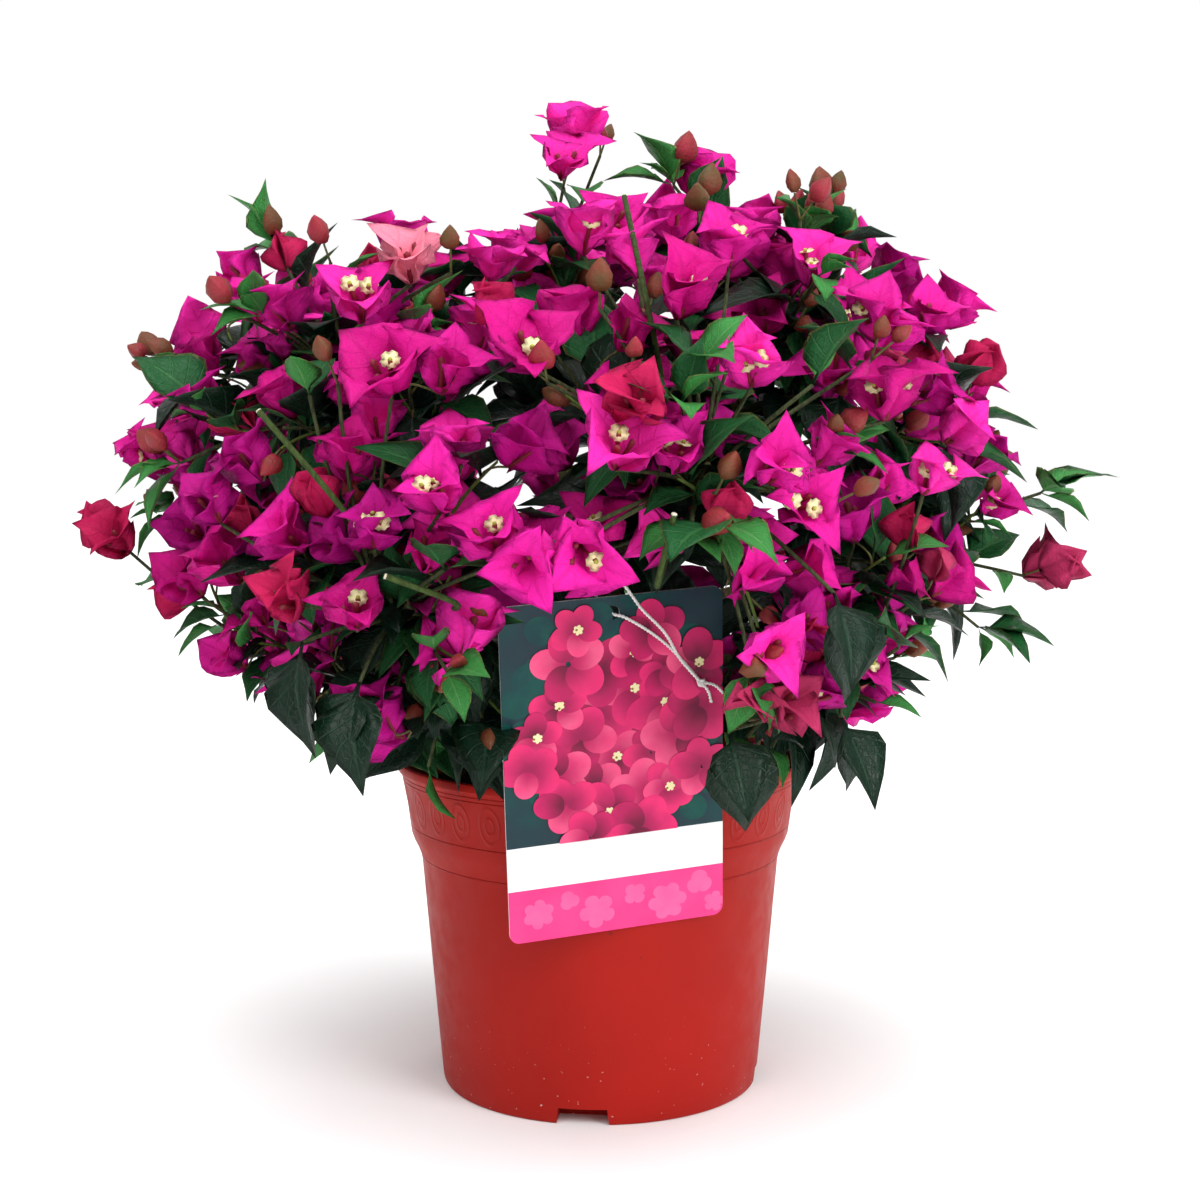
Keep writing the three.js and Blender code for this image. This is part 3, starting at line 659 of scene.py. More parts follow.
def tube(points, radii, sides):
    # a closed tube along the points, its rings turned as little as possible
    points = np.asarray(points)
    count = len(points)
    steps = np.gradient(points, axis=0)
    steps /= np.linalg.norm(steps, axis=1)[:, None]
    first = sideways(steps[0])
    corner = np.arange(sides)
    turn = corner * 2 * math.pi / sides
    rings = []
    for i in range(count):
        first = unit(first - steps[i] * (first @ steps[i]))
        second = np.cross(steps[i], first)
        rings.append(points[i] + radii[i] * (np.cos(turn)[:, None] * first + np.sin(turn)[:, None] * second))
    ringStart = np.arange(count - 1)[:, None] * sides
    low, near = ringStart + corner, ringStart + (corner + 1) % sides
    quads = np.stack((low, near, near + sides, low + sides), axis=-1).reshape(-1)
    loops = np.concatenate((quads, corner[::-1], (count - 1) * sides + corner))
    sizes = np.array([4] * (sides * (count - 1)) + [sides, sides])
    blank = np.zeros((len(loops), 2))
    return {"corners": np.concatenate(rings), "loops": loops, "sizes": sizes, "map": blank}


# Bracts: broad and pointed, cupped round their flower, with ruffled edges and tips that curl away
bract = {
    "across": 4, "along": 8, "width": 0.88, "fold": 0.10, "cup": 0.42, "arch": 0.10, "droop": 0.06,
    "ruffle": 0.17, "waves": 1.6, "twist": 0.05, "sway": 0.05, "thick": 0.008, "curl": 0.14,
    "outline": [(0, 0.12), (0.125, 0.62), (0.25, 0.89), (0.375, 1.0), (0.5, 0.99), (0.625, 0.87),
                (0.75, 0.64), (0.875, 0.30), (1, 0)],
}
for k in range(4):
    own = {"droop": 0.08 * k, "waves": 1.3 + 0.3 * k, "curl": 0.26 - 0.07 * k, "twist": 0.2 * (k % 2) - 0.1,
           "cup": 0.52 - 0.08 * k}
    blade("bract%d" % k, {**bract, **own}, 1.7 * k)
for k in range(2):
    own = {"width": 0.80, "arch": 0.18, "droop": -0.02, "cup": 0.55, "ruffle": 0.05, "curl": 0.0}
    blade("youngBract%d" % k, {**bract, **own}, 2.3 * k + 0.6)

# Leaves: a short stalk, then an egg shape with a drawn out tip
leaf = {
    "across": 4, "along": 7, "width": 0.60, "fold": 0.30, "cup": 0.06, "arch": 0.04, "droop": 0.13,
    "ruffle": 0.06, "waves": 1.2, "twist": 0.0, "sway": 0.04, "thick": 0.012, "curl": 0.06,
    "outline": [(0, 0.055), (0.143, 0.075), (0.286, 0.80), (0.429, 1.0), (0.571, 0.90), (0.714, 0.62),
                (0.857, 0.26), (1, 0)],
}
for k in range(3):
    own = {"droop": 0.04 + 0.10 * k, "twist": 0.14 * (k - 1), "fold": 0.38 - 0.1 * k}
    blade("leaf%d" % k, {**leaf, **own}, 1.9 * k)
blade("slimLeaf", {**leaf, "width": 0.44, "droop": 0.10, "fold": 0.45}, 0.8)


def reshape(name, bm, placeOf):
    # every corner goes where the rule says, and the faces turn outwards
    for v in bm.verts:
        v.co = placeOf(v.co)
    bm.normal_update()
    bmesh.ops.recalc_face_normals(bm, faces=bm.faces[:])
    keepShape(name, bm)


def standing(radiusAt):
    # a ball stood up along y, its radius by height and turn
    def placeOf(p):
        share, turn = (p.z + 1) / 2, math.atan2(p.y, p.x)
        radius = radiusAt(share, turn)
        return radius * math.cos(turn), share, radius * math.sin(turn)

    return placeOf


def budRadius(share, turn):
    return 0.36 * math.sin(math.pi * min(share * 0.92 + 0.05, 1) ** 0.8) * (1 + 0.24 * math.cos(3 * turn))


def flowerRadius(share, turn):
    return float(np.interp(share, (0, 0.1, 0.35, 0.65, 0.9, 1), (0, 0.075, 0.06, 0.05, 0.085, 0)))


def thornPlace(p):
    return p.x, p.z + 0.5, p.y - 0.12 * (p.z + 0.5) ** 2


def cutPlace(p):
    return p.x, p.z, p.y


# Buds: three closed bracts, an egg with three ridges and a point
bm = bmesh.new()
bmesh.ops.create_uvsphere(bm, u_segments=9, v_segments=6, radius=1)
reshape("bud", bm, standing(budRadius))

# Flower tubes: slim, swollen at the foot, and closed at the mouth
bm = bmesh.new()
bmesh.ops.create_uvsphere(bm, u_segments=5, v_segments=5, radius=1)
reshape("flowerTube", bm, standing(flowerRadius))

# Thorns: a bent cone
bm = bmesh.new()
bmesh.ops.create_cone(bm, cap_ends=True, segments=5, radius1=0.11, radius2=0.01, depth=1)
reshape("thorn", bm, thornPlace)

# The round cut of a pruned shoot
bm = bmesh.new()
bmesh.ops.create_cone(bm, cap_ends=True, segments=10, radius1=1.02, radius2=0.95, depth=0.5)
reshape("cutEnd", bm, cutPlace)

# Open flowers: five notched lobes in a shallow star, facing y
flower = {"lobes": 5, "radii": (0.80, 0.99, 0.90, 0.99), "front": -0.16, "back": -0.3}
bm = bmesh.new()
for depth in (flower["front"], flower["back"]):
    disc = bmesh.ops.create_circle(bm, cap_ends=True, cap_tris=True, segments=4 * flower["lobes"], radius=1)
    for v in disc["verts"]:
        if v.co.length < 0.1:
            v.co = (0, depth, 0)
            continue
        turn = math.atan2(v.co.y, v.co.x)
        step = round(turn / (math.pi / (2 * flower["lobes"]))) % 4
        radius = flower["radii"][step]
        v.co = (radius * math.cos(turn), 0.10 * (1 - abs(step - 2)) - 0.02, radius * math.sin(turn))
bmesh.ops.remove_doubles(bm, verts=bm.verts[:], dist=1e-4)
bmesh.ops.recalc_face_normals(bm, faces=bm.faces[:])
keepShape("star", bm)

# The flower's green eye
bm = bmesh.new()
bmesh.ops.create_icosphere(bm, subdivisions=1, radius=1)
bmesh.ops.scale(bm, vec=(0.24, 0.2, 0.24), verts=bm.verts[:])
keepShape("eye", bm)

# Crumbs of peat
bm = bmesh.new()
bmesh.ops.create_icosphere(bm, subdivisions=1, radius=1)
for v in bm.verts:
    v.co *= 1 + 0.35 * noise.noise(v.co * 1.7)
keepShape("crumb", bm)

draw = draws(seeds["crumbs"])
for _ in range(soil["crumbs"]):
    turn, far = draw() * 2 * math.pi, math.sqrt(0.03 + 0.95 * draw()) * (soil["brim"] - 3)
    root = spot(far * math.cos(turn), far * math.sin(turn), soil["level"] + moundAt(far) + 0.4) * mm
    forward = unit(anySway(draw))
    plant("peat_crumbs", "crumb", root, forward, sideways(forward), (0.8 + 1.9 * draw() ** 2) * mm, 1.6)
crumbs = gather("peat_crumbs", False)
crumbs.data.materials.append(peat)
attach(crumbs, "root")
print("soil ready")


# The crown's space and its limbs, by the same rule as the solids

crown = {
    "hub": (-4, 0, 190), "hubReach": 66, "masses": 12, "lowestMass": -0.42, "massTurn": 0.8,
    "centre": (-6, 0, 222), "halfWidth": 184, "halfDepth": 172, "above": 142, "below": 108,
    "squareness": 2.5, "farthest": 0.4,
    "swells": [  # azimuth, height, spread, gain
        (180, 10, 26, 0.14), (178, 50, 22, 0.07), (0, 42, 24, 0.10), (-10, 72, 20, 0.09),
        (0, 8, 16, 0.05), (186, -20, 30, -0.27), (-4, -18, 30, -0.27)],
}
hub = spot(*crown["hub"]) * mm
hubReach = crown["hubReach"] * mm


def spiral(count, low, turn):
    # directions spread evenly over a ball, down to a lowest height
    found = []
    for i in range(count):
        sine = low + (1 - low) * (i + 0.5) / count
        flat = math.sqrt(1 - sine * sine)
        angle = turn + i * goldenAngle
        found.append(spot(flat * math.cos(angle), flat * math.sin(angle), sine))
    return found


massAxes = spiral(crown["masses"], crown["lowestMass"], crown["massTurn"])
swells = [(towards(a, h), math.radians(s), g) for a, h, s, g in crown["swells"]]


def swellGain(direction):
    gain = 1.0
    for axis, spread, more in swells:
        angle = math.acos(max(-1, min(1, float(direction @ axis)))) / spread
        gain += more * math.exp(-angle * angle)
    return gain


def shellLevel(p):
    # 1 on the plain rounded box of the crown, less inside it
    x, y, z = p / mm - crown["centre"]
    flat = math.hypot(x / crown["halfWidth"], y / crown["halfDepth"])
    tall = abs(z) / (crown["above"] if z > 0 else crown["below"])
    return (flat ** crown["squareness"] + tall ** crown["squareness"]) ** (1 / crown["squareness"])


def reachTowards(direction):
    # how far the crown's skin is from the hub, found by halving
    near, far = 0.0, crown["farthest"]
    for _ in range(22):
        middle = (near + far) / 2
        if shellLevel(hub + direction * middle) > 1:
            far = middle
        else:
            near = middle
    return near * swellGain(direction)


def crownLevel(p):
    # 1 on the crown's own skin with its swells, less inside it
    away = p - hub
    return shellLevel(hub + away / swellGain(unit(away)))


limbs = {
    "trunkFoot": (0, 0, 126.3), "trunkFootRadius": 7.6, "trunkTipRadius": 2.7,
    "flareRadius": 5, "flareHeight": 7, "flareRidges": 4, "trunkBend": (6, -3, 0),
    "boughFootRadius": 3.1, "boughTipRadius": 2.3, "boughRise": 26, "boughArch": 0.5,
    "lowestBough": 10, "boughStep": 3, "highestBough": 16,
    "stemShare": 0.8, "stemSway": 16, "stemTipRadius": 1.2,
    "trunkMesh": (32, 70), "boughMesh": (14, 34),  # sides and rings
    "ridge": 0.10, "ridgeWidth": 1.6, "ridgeLength": 5,  # of the bark
    "collar": 0.45, "collarFall": 9,  # of a bough's swollen foot
    "bark": (0.20, 0.145, 0.085), "crevice": (0.045, 0.030, 0.018),
}
trunkFoot = spot(*limbs["trunkFoot"]) * mm
trunkTip = hub + massAxes[-1] * hubReach
trunkLine = (trunkFoot, trunkFoot + spot(*limbs["trunkBend"]) * mm + (trunkTip - trunkFoot) * 0.5, trunkTip)


def boughLine(mass):
    tip = hub + massAxes[mass] * hubReach
    low = trunkFoot[2] + (limbs["lowestBough"] + mass * limbs["boughStep"]) * mm
    height = min(max(tip[2] - limbs["boughRise"] * mm, low), trunkTip[2] - limbs["highestBough"] * mm)
    foot = onLine(trunkLine, (height - trunkFoot[2]) / (trunkTip[2] - trunkFoot[2]))
    bend = tip - massAxes[mass] * np.linalg.norm(tip - foot) * limbs["boughArch"]
    return (foot, bend, tip)


boughLines = [boughLine(mass) for mass in range(crown["masses"] - 1)]
carriers = boughLines + [trunkLine]


def stemLine(mass):
    # goes on from a bough's tip towards the crown's skin
    draw = draws(seeds["stems"] + mass)
    axis = massAxes[mass]
    start = onLine(carriers[mass], 1.0)
    reach = reachTowards(axis) * limbs["stemShare"]
    bend = spot(draw() - 0.5, draw() - 0.5, draw() * 0.6) * limbs["stemSway"] * mm
    bend = bend - axis * (bend @ axis)
    return (start, hub + axis * (hubReach + reach) / 2 + bend, hub + axis * reach)


stemLines = [stemLine(mass) for mass in range(crown["masses"])]


def barkLimb(bm, line, radiusAt, sides, rings, startAlong=None):
    # a sheet wrapped round the line, with the bark's ridges in its radius
    sheet = bmesh.ops.create_grid(bm, x_segments=sides, y_segments=rings, size=0.5)["verts"]
    side = spot(1, 0, 0) if abs(unit(line[2] - line[0])[2]) > 0.9 else upward
    wide, tall = limbs["ridgeWidth"], limbs["ridgeLength"]
    for v in sheet:
        share, turn = v.co.y + 0.5, (v.co.x + 0.5) * 2 * math.pi
        along = alongLine(line, share) if share > 0.001 or startAlong is None else startAlong
        first = unit(side - along * (side @ along))
        second = np.cross(first, along)
        ridge = Vector((math.cos(turn) * wide, math.sin(turn) * wide, share * tall + line[2][0] * 90))
        radius = radiusAt(share, turn) * (1 + limbs["ridge"] * noise.fractal(ridge, 0.9, 2.0, 4))
        v.co = Vector(onLine(line, share) + (first * math.cos(turn) + second * math.sin(turn)) * radius)
    bmesh.ops.remove_doubles(bm, verts=sheet, dist=1e-7)


def trunkRadius(share, turn):
    length = np.linalg.norm(trunkTip - trunkFoot) / mm
    flare = math.exp(-share * length / limbs["flareHeight"])
    ridge = 0.7 + 0.3 * math.cos(limbs["flareRidges"] * turn + 0.6)
    radius = limbs["trunkFootRadius"] + (limbs["trunkTipRadius"] - limbs["trunkFootRadius"]) * share
    return (radius + limbs["flareRadius"] * flare * ridge) * mm


def boughRadius(share, turn):
    radius = limbs["boughFootRadius"] + (limbs["boughTipRadius"] - limbs["boughFootRadius"]) * share
    return radius * (1.0 + limbs["collar"] * math.exp(-share * limbs["collarFall"])) * mm


bm = bmesh.new()
barkLimb(bm, trunkLine, trunkRadius, *limbs["trunkMesh"], upward)
for line in boughLines:
    barkLimb(bm, line, boughRadius, *limbs["boughMesh"])
bmesh.ops.holes_fill(bm, edges=[e for e in bm.edges if e.is_boundary], sides=40)
bmesh.ops.recalc_face_normals(bm, faces=bm.faces[:])
wood = settle(objectFrom(bm, "trunk_and_boughs"), 180)
wood.data.materials.append(barky("bark", limbs["bark"], limbs["crevice"]))
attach(wood, "root")
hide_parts("trunk", *boughs)
print("trunk and boughs ready")


# The care tag's own frame: across, up, and out of its face

tag = {
    "width": 85, "height": 134, "thick": 0.8, "corner": 4, "hole": 2.9, "holeInset": 6.5,
    "lean": 12, "yaw": 16, "roll": 4.6, "across": -18.5, "rise": 16.3,
    "lipRadius": 85, "lipHeights": (132.5, 135), "seam": 0.3,
    "pictureFoot": -27.7, "whiteFoot": -45.3,
    "stringSide": (4, 36), "overString": 6, "overTop": -9,  # how far over its top it is kept in sight
    "potHeight": 137, "potRadius": 88,  # the space of the pot under it
}


def turnBy(degrees, axis):
    return Matrix.Rotation(math.radians(degrees), 3, axis)


tagTurn = turnBy(tag["yaw"], "Z") @ turnBy(tag["lean"], "X") @ turnBy(-tag["roll"], "Y")
tagRight, tagBack, tagUp = (np.array(tagTurn.col[k]) for k in range(3))
tagOut = -tagBack
lipTouch = unit(spot(tagOut[0], tagOut[1], 0)) * tag["lipRadius"]
lipTouch[2] = tag["lipHeights"][1] if tagOut[2] > 0 else tag["lipHeights"][0]
tagCentre = (lipTouch + tagOut * (tag["seam"] + tag["thick"] / 2) + tagRight * tag["across"]
             + tagUp * tag["rise"]) * mm


def onTag(across, rise, out):
    return tagCentre + (tagRight * across + tagUp * rise + tagOut * out) * mm


def fromTag(p):
    away = (p - tagCentre) / mm
    return away @ tagRight, away @ tagUp, away @ tagOut


def inTheWay(p, clear=0.0):
    # true where it would hide the tag's face or its string, or is in the card, in the pot or in its soil
    eye = np.array(view["place"])
    share = ((tagCentre - eye) @ tagOut) / ((p - eye) @ tagOut)
    across, rise, _ = fromTag(eye + (p - eye) * share)
    half, tall = tag["width"] / 2, tag["height"] / 2
    left, right = tag["stringSide"]
    top = tall + (tag["overString"] if left < across < right else tag["overTop"])
    if share > 1 and abs(across) < half + 1 and -tall < rise < top:
        return True
    across, rise, out = fromTag(p)
    if abs(across) < half + 2 and abs(rise) < tall + 2 and -2.5 < out < 3:
        return True
    radius = math.hypot(p[0], p[1]) / mm
    return p[2] < (tag["potHeight"] + clear) * mm and radius < tag["potRadius"] + clear


# Foliage: shoots grow on from the stems, fork, and carry leaves along them and bracts at their ends

growth = {
    "shoots": 118, "lowestShoot": -0.60, "shootTurn": 0.35, "nodeGap": 13.5, "arch": 0.34,
    "inset": 21, "sprigReach": 10,  # of a shoot's tip from the crown's skin, and how much less on a leafy one
    "skin": 1.0, "leafSkin": 1.05,  # levels that no bract and no leaf goes past
    "flowering": 0.60, "lowestCluster": 168, "apart": 17,
    "twigRadii": [(1.15, 0.7), (0.75, 0.5)], "stalkRadii": (0.5, 0.42),
    "bractLength": 25, "tubeLength": 13.5, "starRadius": 3.7,
    "styles": {  # lean of the bracts from their flower, its spread, and their share of the length
        "open": (26, 20, 1.0), "half": (15, 12, 0.95), "young": (6, 7, 0.74)},
    "leaves": {"fresh": 23, "mid": 31, "dark": 39},
    "leafKinds": [  # up to a level in the crown: two kinds, and the first one's share; darker kinds deeper in, as painted shade
        (0.64, "dark", "mid", 0.85), (0.84, "mid", "dark", 0.65), (9.0, "fresh", "mid", 0.62)],
    "shade": 182,  # the height that leaves are dark below, as painted shade under the crown
    "sprays": [  # what a draw, raised towards the top as painted light, has to pass for each colour
        (0.92, "bracts_bright"), (0.58, "bracts_magenta"), (0.36, "bracts_deep"), (-9, "bracts_violet")],
    "openShare": 0.42, "halfShare": 0.84, "crimsonShare": 0.65,  # of a spray's clusters and of its young ones
    # what a draw decides at each node of a shoot: less than this grows a fork, a spray or a bud, more a thorn
    "forkLuck": 0.30, "sprayLuck": 0.50, "budLuck": 0.64, "thornLuck": 0.84,
    "forkPart": (0.25, 0.8), "forkSkin": 0.9, "budSkin": 0.7,
    "tries": 6, "aside": 0.13,  # of a shoot that meets the tag
    "leafTurn": 2.2, "budTurn": 2.4,  # between the leaves and the buds at a shoot's end
    "stemLeaves": 9, "boughLeaves": 4,
    "budLength": 11,
    "leaders": [  # shoots that reach past the crown: tip, what they end in, how many
        ((-15, -10, 371), "bracts", 2), ((0, -2, 385), "bud", 2), ((30, -10, 372), "sprig", 4),
        ((42, 4, 352), "bracts", 2), ((90, -20, 358), "bud", 3), ((112, -10, 318), "bracts", 3),
        ((150, -8, 284), "bud", 2), ((182, -8, 247), "leaves", 5), ((178, 4, 212), "dusty", 2),
        ((160, 6, 190), "leaves", 4), ((-184, 0, 258), "stars", 2), ((-192, -18, 223), "young", 2),
        ((-176, -20, 298), "bud", 3), ((-128, -4, 320), "bracts", 2), ((-132, -8, 346), "sprig", 4),
        ((104, 0, 356), "bare", 0),
    ],
    # what shows on the crown's front: across and height over the pot's axis, kind, how many
    "front": [
        (7, 263, "stars", 1), (-73, 243, "stars", 2), (-103, 227, "stars", 3), (-46, 220, "stars", 1),
        (-112, 189, "stars", 1), (-172, 238, "stars", 1), (-106, 328, "stars", 2), (-94, 296, "stars", 1),
        (-7, 358, "stars", 1), (58, 352, "stars", 1), (35, 330, "stars", 1), (69, 300, "stars", 3),
        (77, 257, "stars", 1), (129, 284, "stars", 2), (147, 251, "stars", 3), (124, 319, "stars", 1),
        (-31, 309, "stars", 1), (75, 180, "half", 1), (43, 368, "bud", 2), (87, 368, "bud", 2),
        (-65, 346, "bud", 1), (-158, 328, "bud", 2), (-117, 350, "bud", 1), (-115, 298, "bud", 1),
        (14, 305, "bud", 1), (-23, 299, "bud", 1), (104, 246, "bud", 1), (119, 308, "bud", 2),
        (0, 331, "bud", 1), (16, 284, "young", 1), (-135, 200, "young", 1), (-84, 344, "pale", 1),
        (75, 152, "dusty", 2), (-116, 342, "leaves", 1), (-130, 295, "leaves", 2), (37, 292, "leaves", 4),
        (44, 308, "leaves", 3), (96, 300, "leaves", 2), (-71, 217, "leaves", 2), (54, 238, "leaves", 3),
        (137, 181, "leaves", 2), (127, 156, "leaves", 1), (58, 144, "hanging", 2), (108, 150, "hanging", 2),
        (104, 206, "hanging", 2), (-107, 166, "hanging", 3), (-132, 184, "hanging", 2), (70, 172, "sprig", 4),
        (-30, 224, "low", 0), (-9, 229, "low", 1), (40, 230, "low", 0),
    ],
    "frontInset": {"stars": 13, "low": 10, "half": 14, "young": 12, "dusty": 12, "pale": 12, "bud": 9,
                   "leaves": 12, "sprig": 12, "hanging": 8},
    "stubs": [  # pruned shoots: where each ends and where it comes out of the leaves
        ((-142, 281), (-117, 244)), ((-90, 212), (-67, 202)), ((31, 238), (27, 210)), ((10, 369), (23, 332))],
    "stubRadius": 1.05, "stubInset": 14,
}
twigs, stalks, feet = [], [], []


def curveTo(tip, mass, rootShare):
    root = onLine(stemLines[mass], rootShare)
    bend = root + alongLine(stemLines[mass], rootShare) * np.linalg.norm(tip - root) * growth["arch"]
    return (root, bend, tip)


def nearestMass(direction):
    return int(np.argmax([axis @ direction for axis in massAxes]))


def lineLength(line):
    points = [onLine(line, k / 8) for k in range(9)]
    return sum(np.linalg.norm(b - a) for a, b in zip(points, points[1:]))


def frontSpot(x, z):
    # where the camera's sight line to a place over the pot's axis meets the crown's skin
    eye, aim = np.array(view["place"]), spot(x, 0, z) * mm
    for step in range(400):
        p = eye + (aim - eye) * step / 400
        if crownLevel(p) < 1:
            return p
    return aim


def crowded(foot):
    return any(np.linalg.norm(foot - other) < growth["apart"] * mm for other in feet)


def around(axis, turn, lean):
    # a direction that leans away from the axis, and the side it leans to
    first = sideways(axis)
    side = first * math.cos(turn) + np.cross(axis, first) * math.sin(turn)
    return axis * math.cos(lean) + side * math.sin(lean), side


def paintedLightSprayColour(foot, draw):
    # painted light: brighter towards the top and the left, deeper low down, over a random spread of tones
    pick = draw() + 0.4 * (foot[2] / mm - 150) / 240 - 0.1 * foot[0] / (crown["halfWidth"] * mm)
    return next(colour for least, colour in growth["sprays"] if pick > least)


def growCluster(foot, axis, size, style, draw, colour, stars=None, free=False):
    # three bracts round their flowers, each with a slim tube on its midrib; free ones may stand anywhere
    lean, spread, share = growth["styles"][style]
    spin, tilt = draw() * 6.3, lean + spread * draw()
    length = size * share * growth["bractLength"] * mm
    blades = []
    for k in range(3):
        turn = spin + k * 2.094 + 0.4 * (draw() - 0.5)
        angle = math.radians(tilt + 14 * (draw() - 0.5))
        forward, side = around(axis, turn, angle)
        face = axis * math.sin(angle) - side * math.cos(angle)
        blades.append((forward, face, side, length * (0.86 + 0.26 * draw())))
    reached = [foot + forward * reach * part for forward, _, _, reach in blades for part in (0.5, 1)]
    if not free and (crowded(foot) or any(crownLevel(tip) > growth["skin"] for tip in reached[1::2])):
        return False
    if inTheWay(foot) or any(inTheWay(p) for p in reached):
        return False
    feet.append(foot)
    for forward, face, side, reach in blades:
        kind = "youngBract%d" % int(draw() * 2) if style == "young" else "bract%d" % int(draw() * 4)
        plant(colour, kind, foot, forward, face, reach, 0.86 + 0.26 * draw())
    if style == "young":
        return True
    shown = stars is not None
    if not shown:
        stars = int(draw() * 3.5) if draw() < (0.4 if style == "open" else 0.1) else 0
    for k, (forward, face, side, reach) in enumerate(blades):
        stand = unit(axis + side * (0.2 + 0.25 * draw()))
        tall = growth["tubeLength"] * (0.85 + 0.3 * draw()) * size * mm
        plant("flower_tubes", "flowerTube", foot, stand, face, tall, 1.2)
        if k < stars:
            mouth = foot + stand * tall * 0.97
            look = unit(stand * 0.5 + axis * 0.3 + spot(0, -0.8, 0)) if shown else stand
            plant("open_flowers", "star", mouth, look, side, growth["starRadius"] * mm)
            plant("flower_eyes", "eye", mouth + look * 0.0002, look, side, growth["starRadius"] * mm)
    return True


def growSpray(root, along, many, draw, free=False):
    # one to three clusters on short stalks that spread from one place
    colour, spin = paintedLightSprayColour(root, draw), draw() * 6.3
    outward = unit(root - hub)
    for k in range(many):
        lean = math.radians((12 if many == 1 else 38) + 14 * draw())
        way, _ = around(along, spin + k * 6.283 / many, lean)
        axis = unit(way * 0.7 + upward * 0.75 + outward * 0.3 + anySway(draw) * 0.8)
        pick, reach = draw(), (10 + 8 * draw()) * mm
        style = "open" if pick < growth["openShare"] else ("half" if pick < growth["halfShare"] else "young")
        ownColour = colour
        if style == "young":
            ownColour = "bracts_crimson" if draw() < growth["crimsonShare"] else "bracts_dusty"
        for pull in (1.0, 0.55, 0.15):  # nearer to its root where it would leave the crown
            foot = root + way * reach * pull
            if growCluster(foot, axis, 0.88 + 0.24 * draw(), style, draw, ownColour, None, free):
                stalks.append((root, root + along * reach * pull * 0.45, foot))
                break


def growLeaf(root, direction, face, kind, draw, free=False):
    reach = growth["leaves"][kind] * (0.72 + 0.56 * draw()) * mm
    shape = "slimLeaf" if draw() < 0.2 else "leaf%d" % int(draw() * 3)
    width = 0.85 + 0.3 * draw()
    tip = root + direction * reach
    if inTheWay(tip, -2) or inTheWay(root + direction * reach * 0.6, -2):
        return
    if free or crownLevel(tip) < growth["leafSkin"]:
        plant("leaves_" + kind, shape, root, direction, face, reach, width)


def growBud(root, way, draw, free=False):
    foot = root + way * (5 + 6 * draw()) * mm
    size = growth["budLength"] * (0.75 + 0.5 * draw()) * mm
    colour = "buds_red" if draw() < 0.45 else "buds_brown"
    if not inTheWay(foot + way * size) and (free or crownLevel(foot + way * size) < growth["skin"]):
        plant(colour, "bud", foot, way, sideways(way), size, 0.8 + 0.3 * draw())
        stalks.append((root, (root + foot) / 2, foot))


def leafPlace(root, along, turn, draw):
    # which way a leaf grows from a twig, and which way its upper face looks
    _, side = around(along, turn, 0)
    direction = unit(side + along * 0.6 - upward * 0.25)
    return direction, unit(upward * 0.8 + unit(root - hub) * 0.6 + anySway(draw) * 0.7)


def leafKindByShade(root, level, draw):
    # painted shade: near-black leaves inside and low down; fresher towards the skin, partly young growth and
    # partly painted light
    pick = draw()
    if root[2] < growth["shade"] * mm:
        level = 0
    for most, usual, other, share in growth["leafKinds"]:
        if level < most:
            return usual if pick < share else other


def finishShoot(tip, along, kind, many, draw, free):
    # what a shoot ends in; a bare one ends in nothing
    outward = unit(tip - hub)
    axis = unit(outward + along * 0.4 + upward * 0.45 + anySway(draw) * 0.3)
    facing = unit(outward * 0.4 + upward * 0.75 + spot(0, -0.35, 0) + anySway(draw) * 0.7)
    if kind == "bracts":
        growSpray(tip, along, many, draw, free)
    elif kind == "stars":
        size, style = 0.95 + 0.25 * draw(), "open" if draw() < 0.5 else "half"
        growCluster(tip, facing, size, style, draw, paintedLightSprayColour(tip, draw), many, free)
    elif kind == "low":
        low = unit(spot(0, -1, -0.45) + anySway(draw) * 0.5)
        growCluster(tip, low, 1.05, "half", draw, paintedLightSprayColour(tip, draw), many, free)
    elif kind in ("half", "pale"):
        colour = "bracts_pale" if kind == "pale" else paintedLightSprayColour(tip, draw)
        growCluster(tip, axis, 1.05, "half", draw, colour, 0, free)
    elif kind in ("young", "dusty"):
        for k in range(many):
            way, _ = around(axis, k * 3.1, 0.5 if many > 1 else 0.1)
            colour = "bracts_dusty" if kind == "dusty" else "bracts_crimson"
            foot = tip + way * 8 * mm * k
            if growCluster(foot, way, 1.05, "young" if k else "half", draw, colour, 0, free) and k:
                stalks.append((tip, (tip + foot) / 2, foot))
    elif kind in ("sprig", "leaves"):
        for k in range(many):
            direction, face = leafPlace(tip, along, k * growth["leafTurn"] + draw(), draw)
            direction = unit(direction + along * (0.8 if kind == "sprig" else 0.5))
            growLeaf(tip, direction, face, "mid" if kind == "leaves" and k % 2 else "fresh", draw, free)
        for k in range(2 if kind == "sprig" else 0):
            growBud(tip, around(axis, k * growth["budTurn"] + draw(), 0.5)[0], draw, free)
    elif kind == "bud":
        for k in range(many):
            growBud(tip, around(axis, k * growth["budTurn"], 0.45 if many > 1 else 0.1)[0], draw, free)
    elif kind == "hanging":
        for k in range(many):
            side = around(upward, k * growth["leafTurn"] + draw(), 0)[1]
            direction = unit(outward * 0.35 - upward + side * 0.35)
            # the hanging leaves low on the crown are of the dark kind, as painted shade
            growLeaf(tip, direction, unit(outward + anySway(draw) * 0.5), "dark", draw, free)


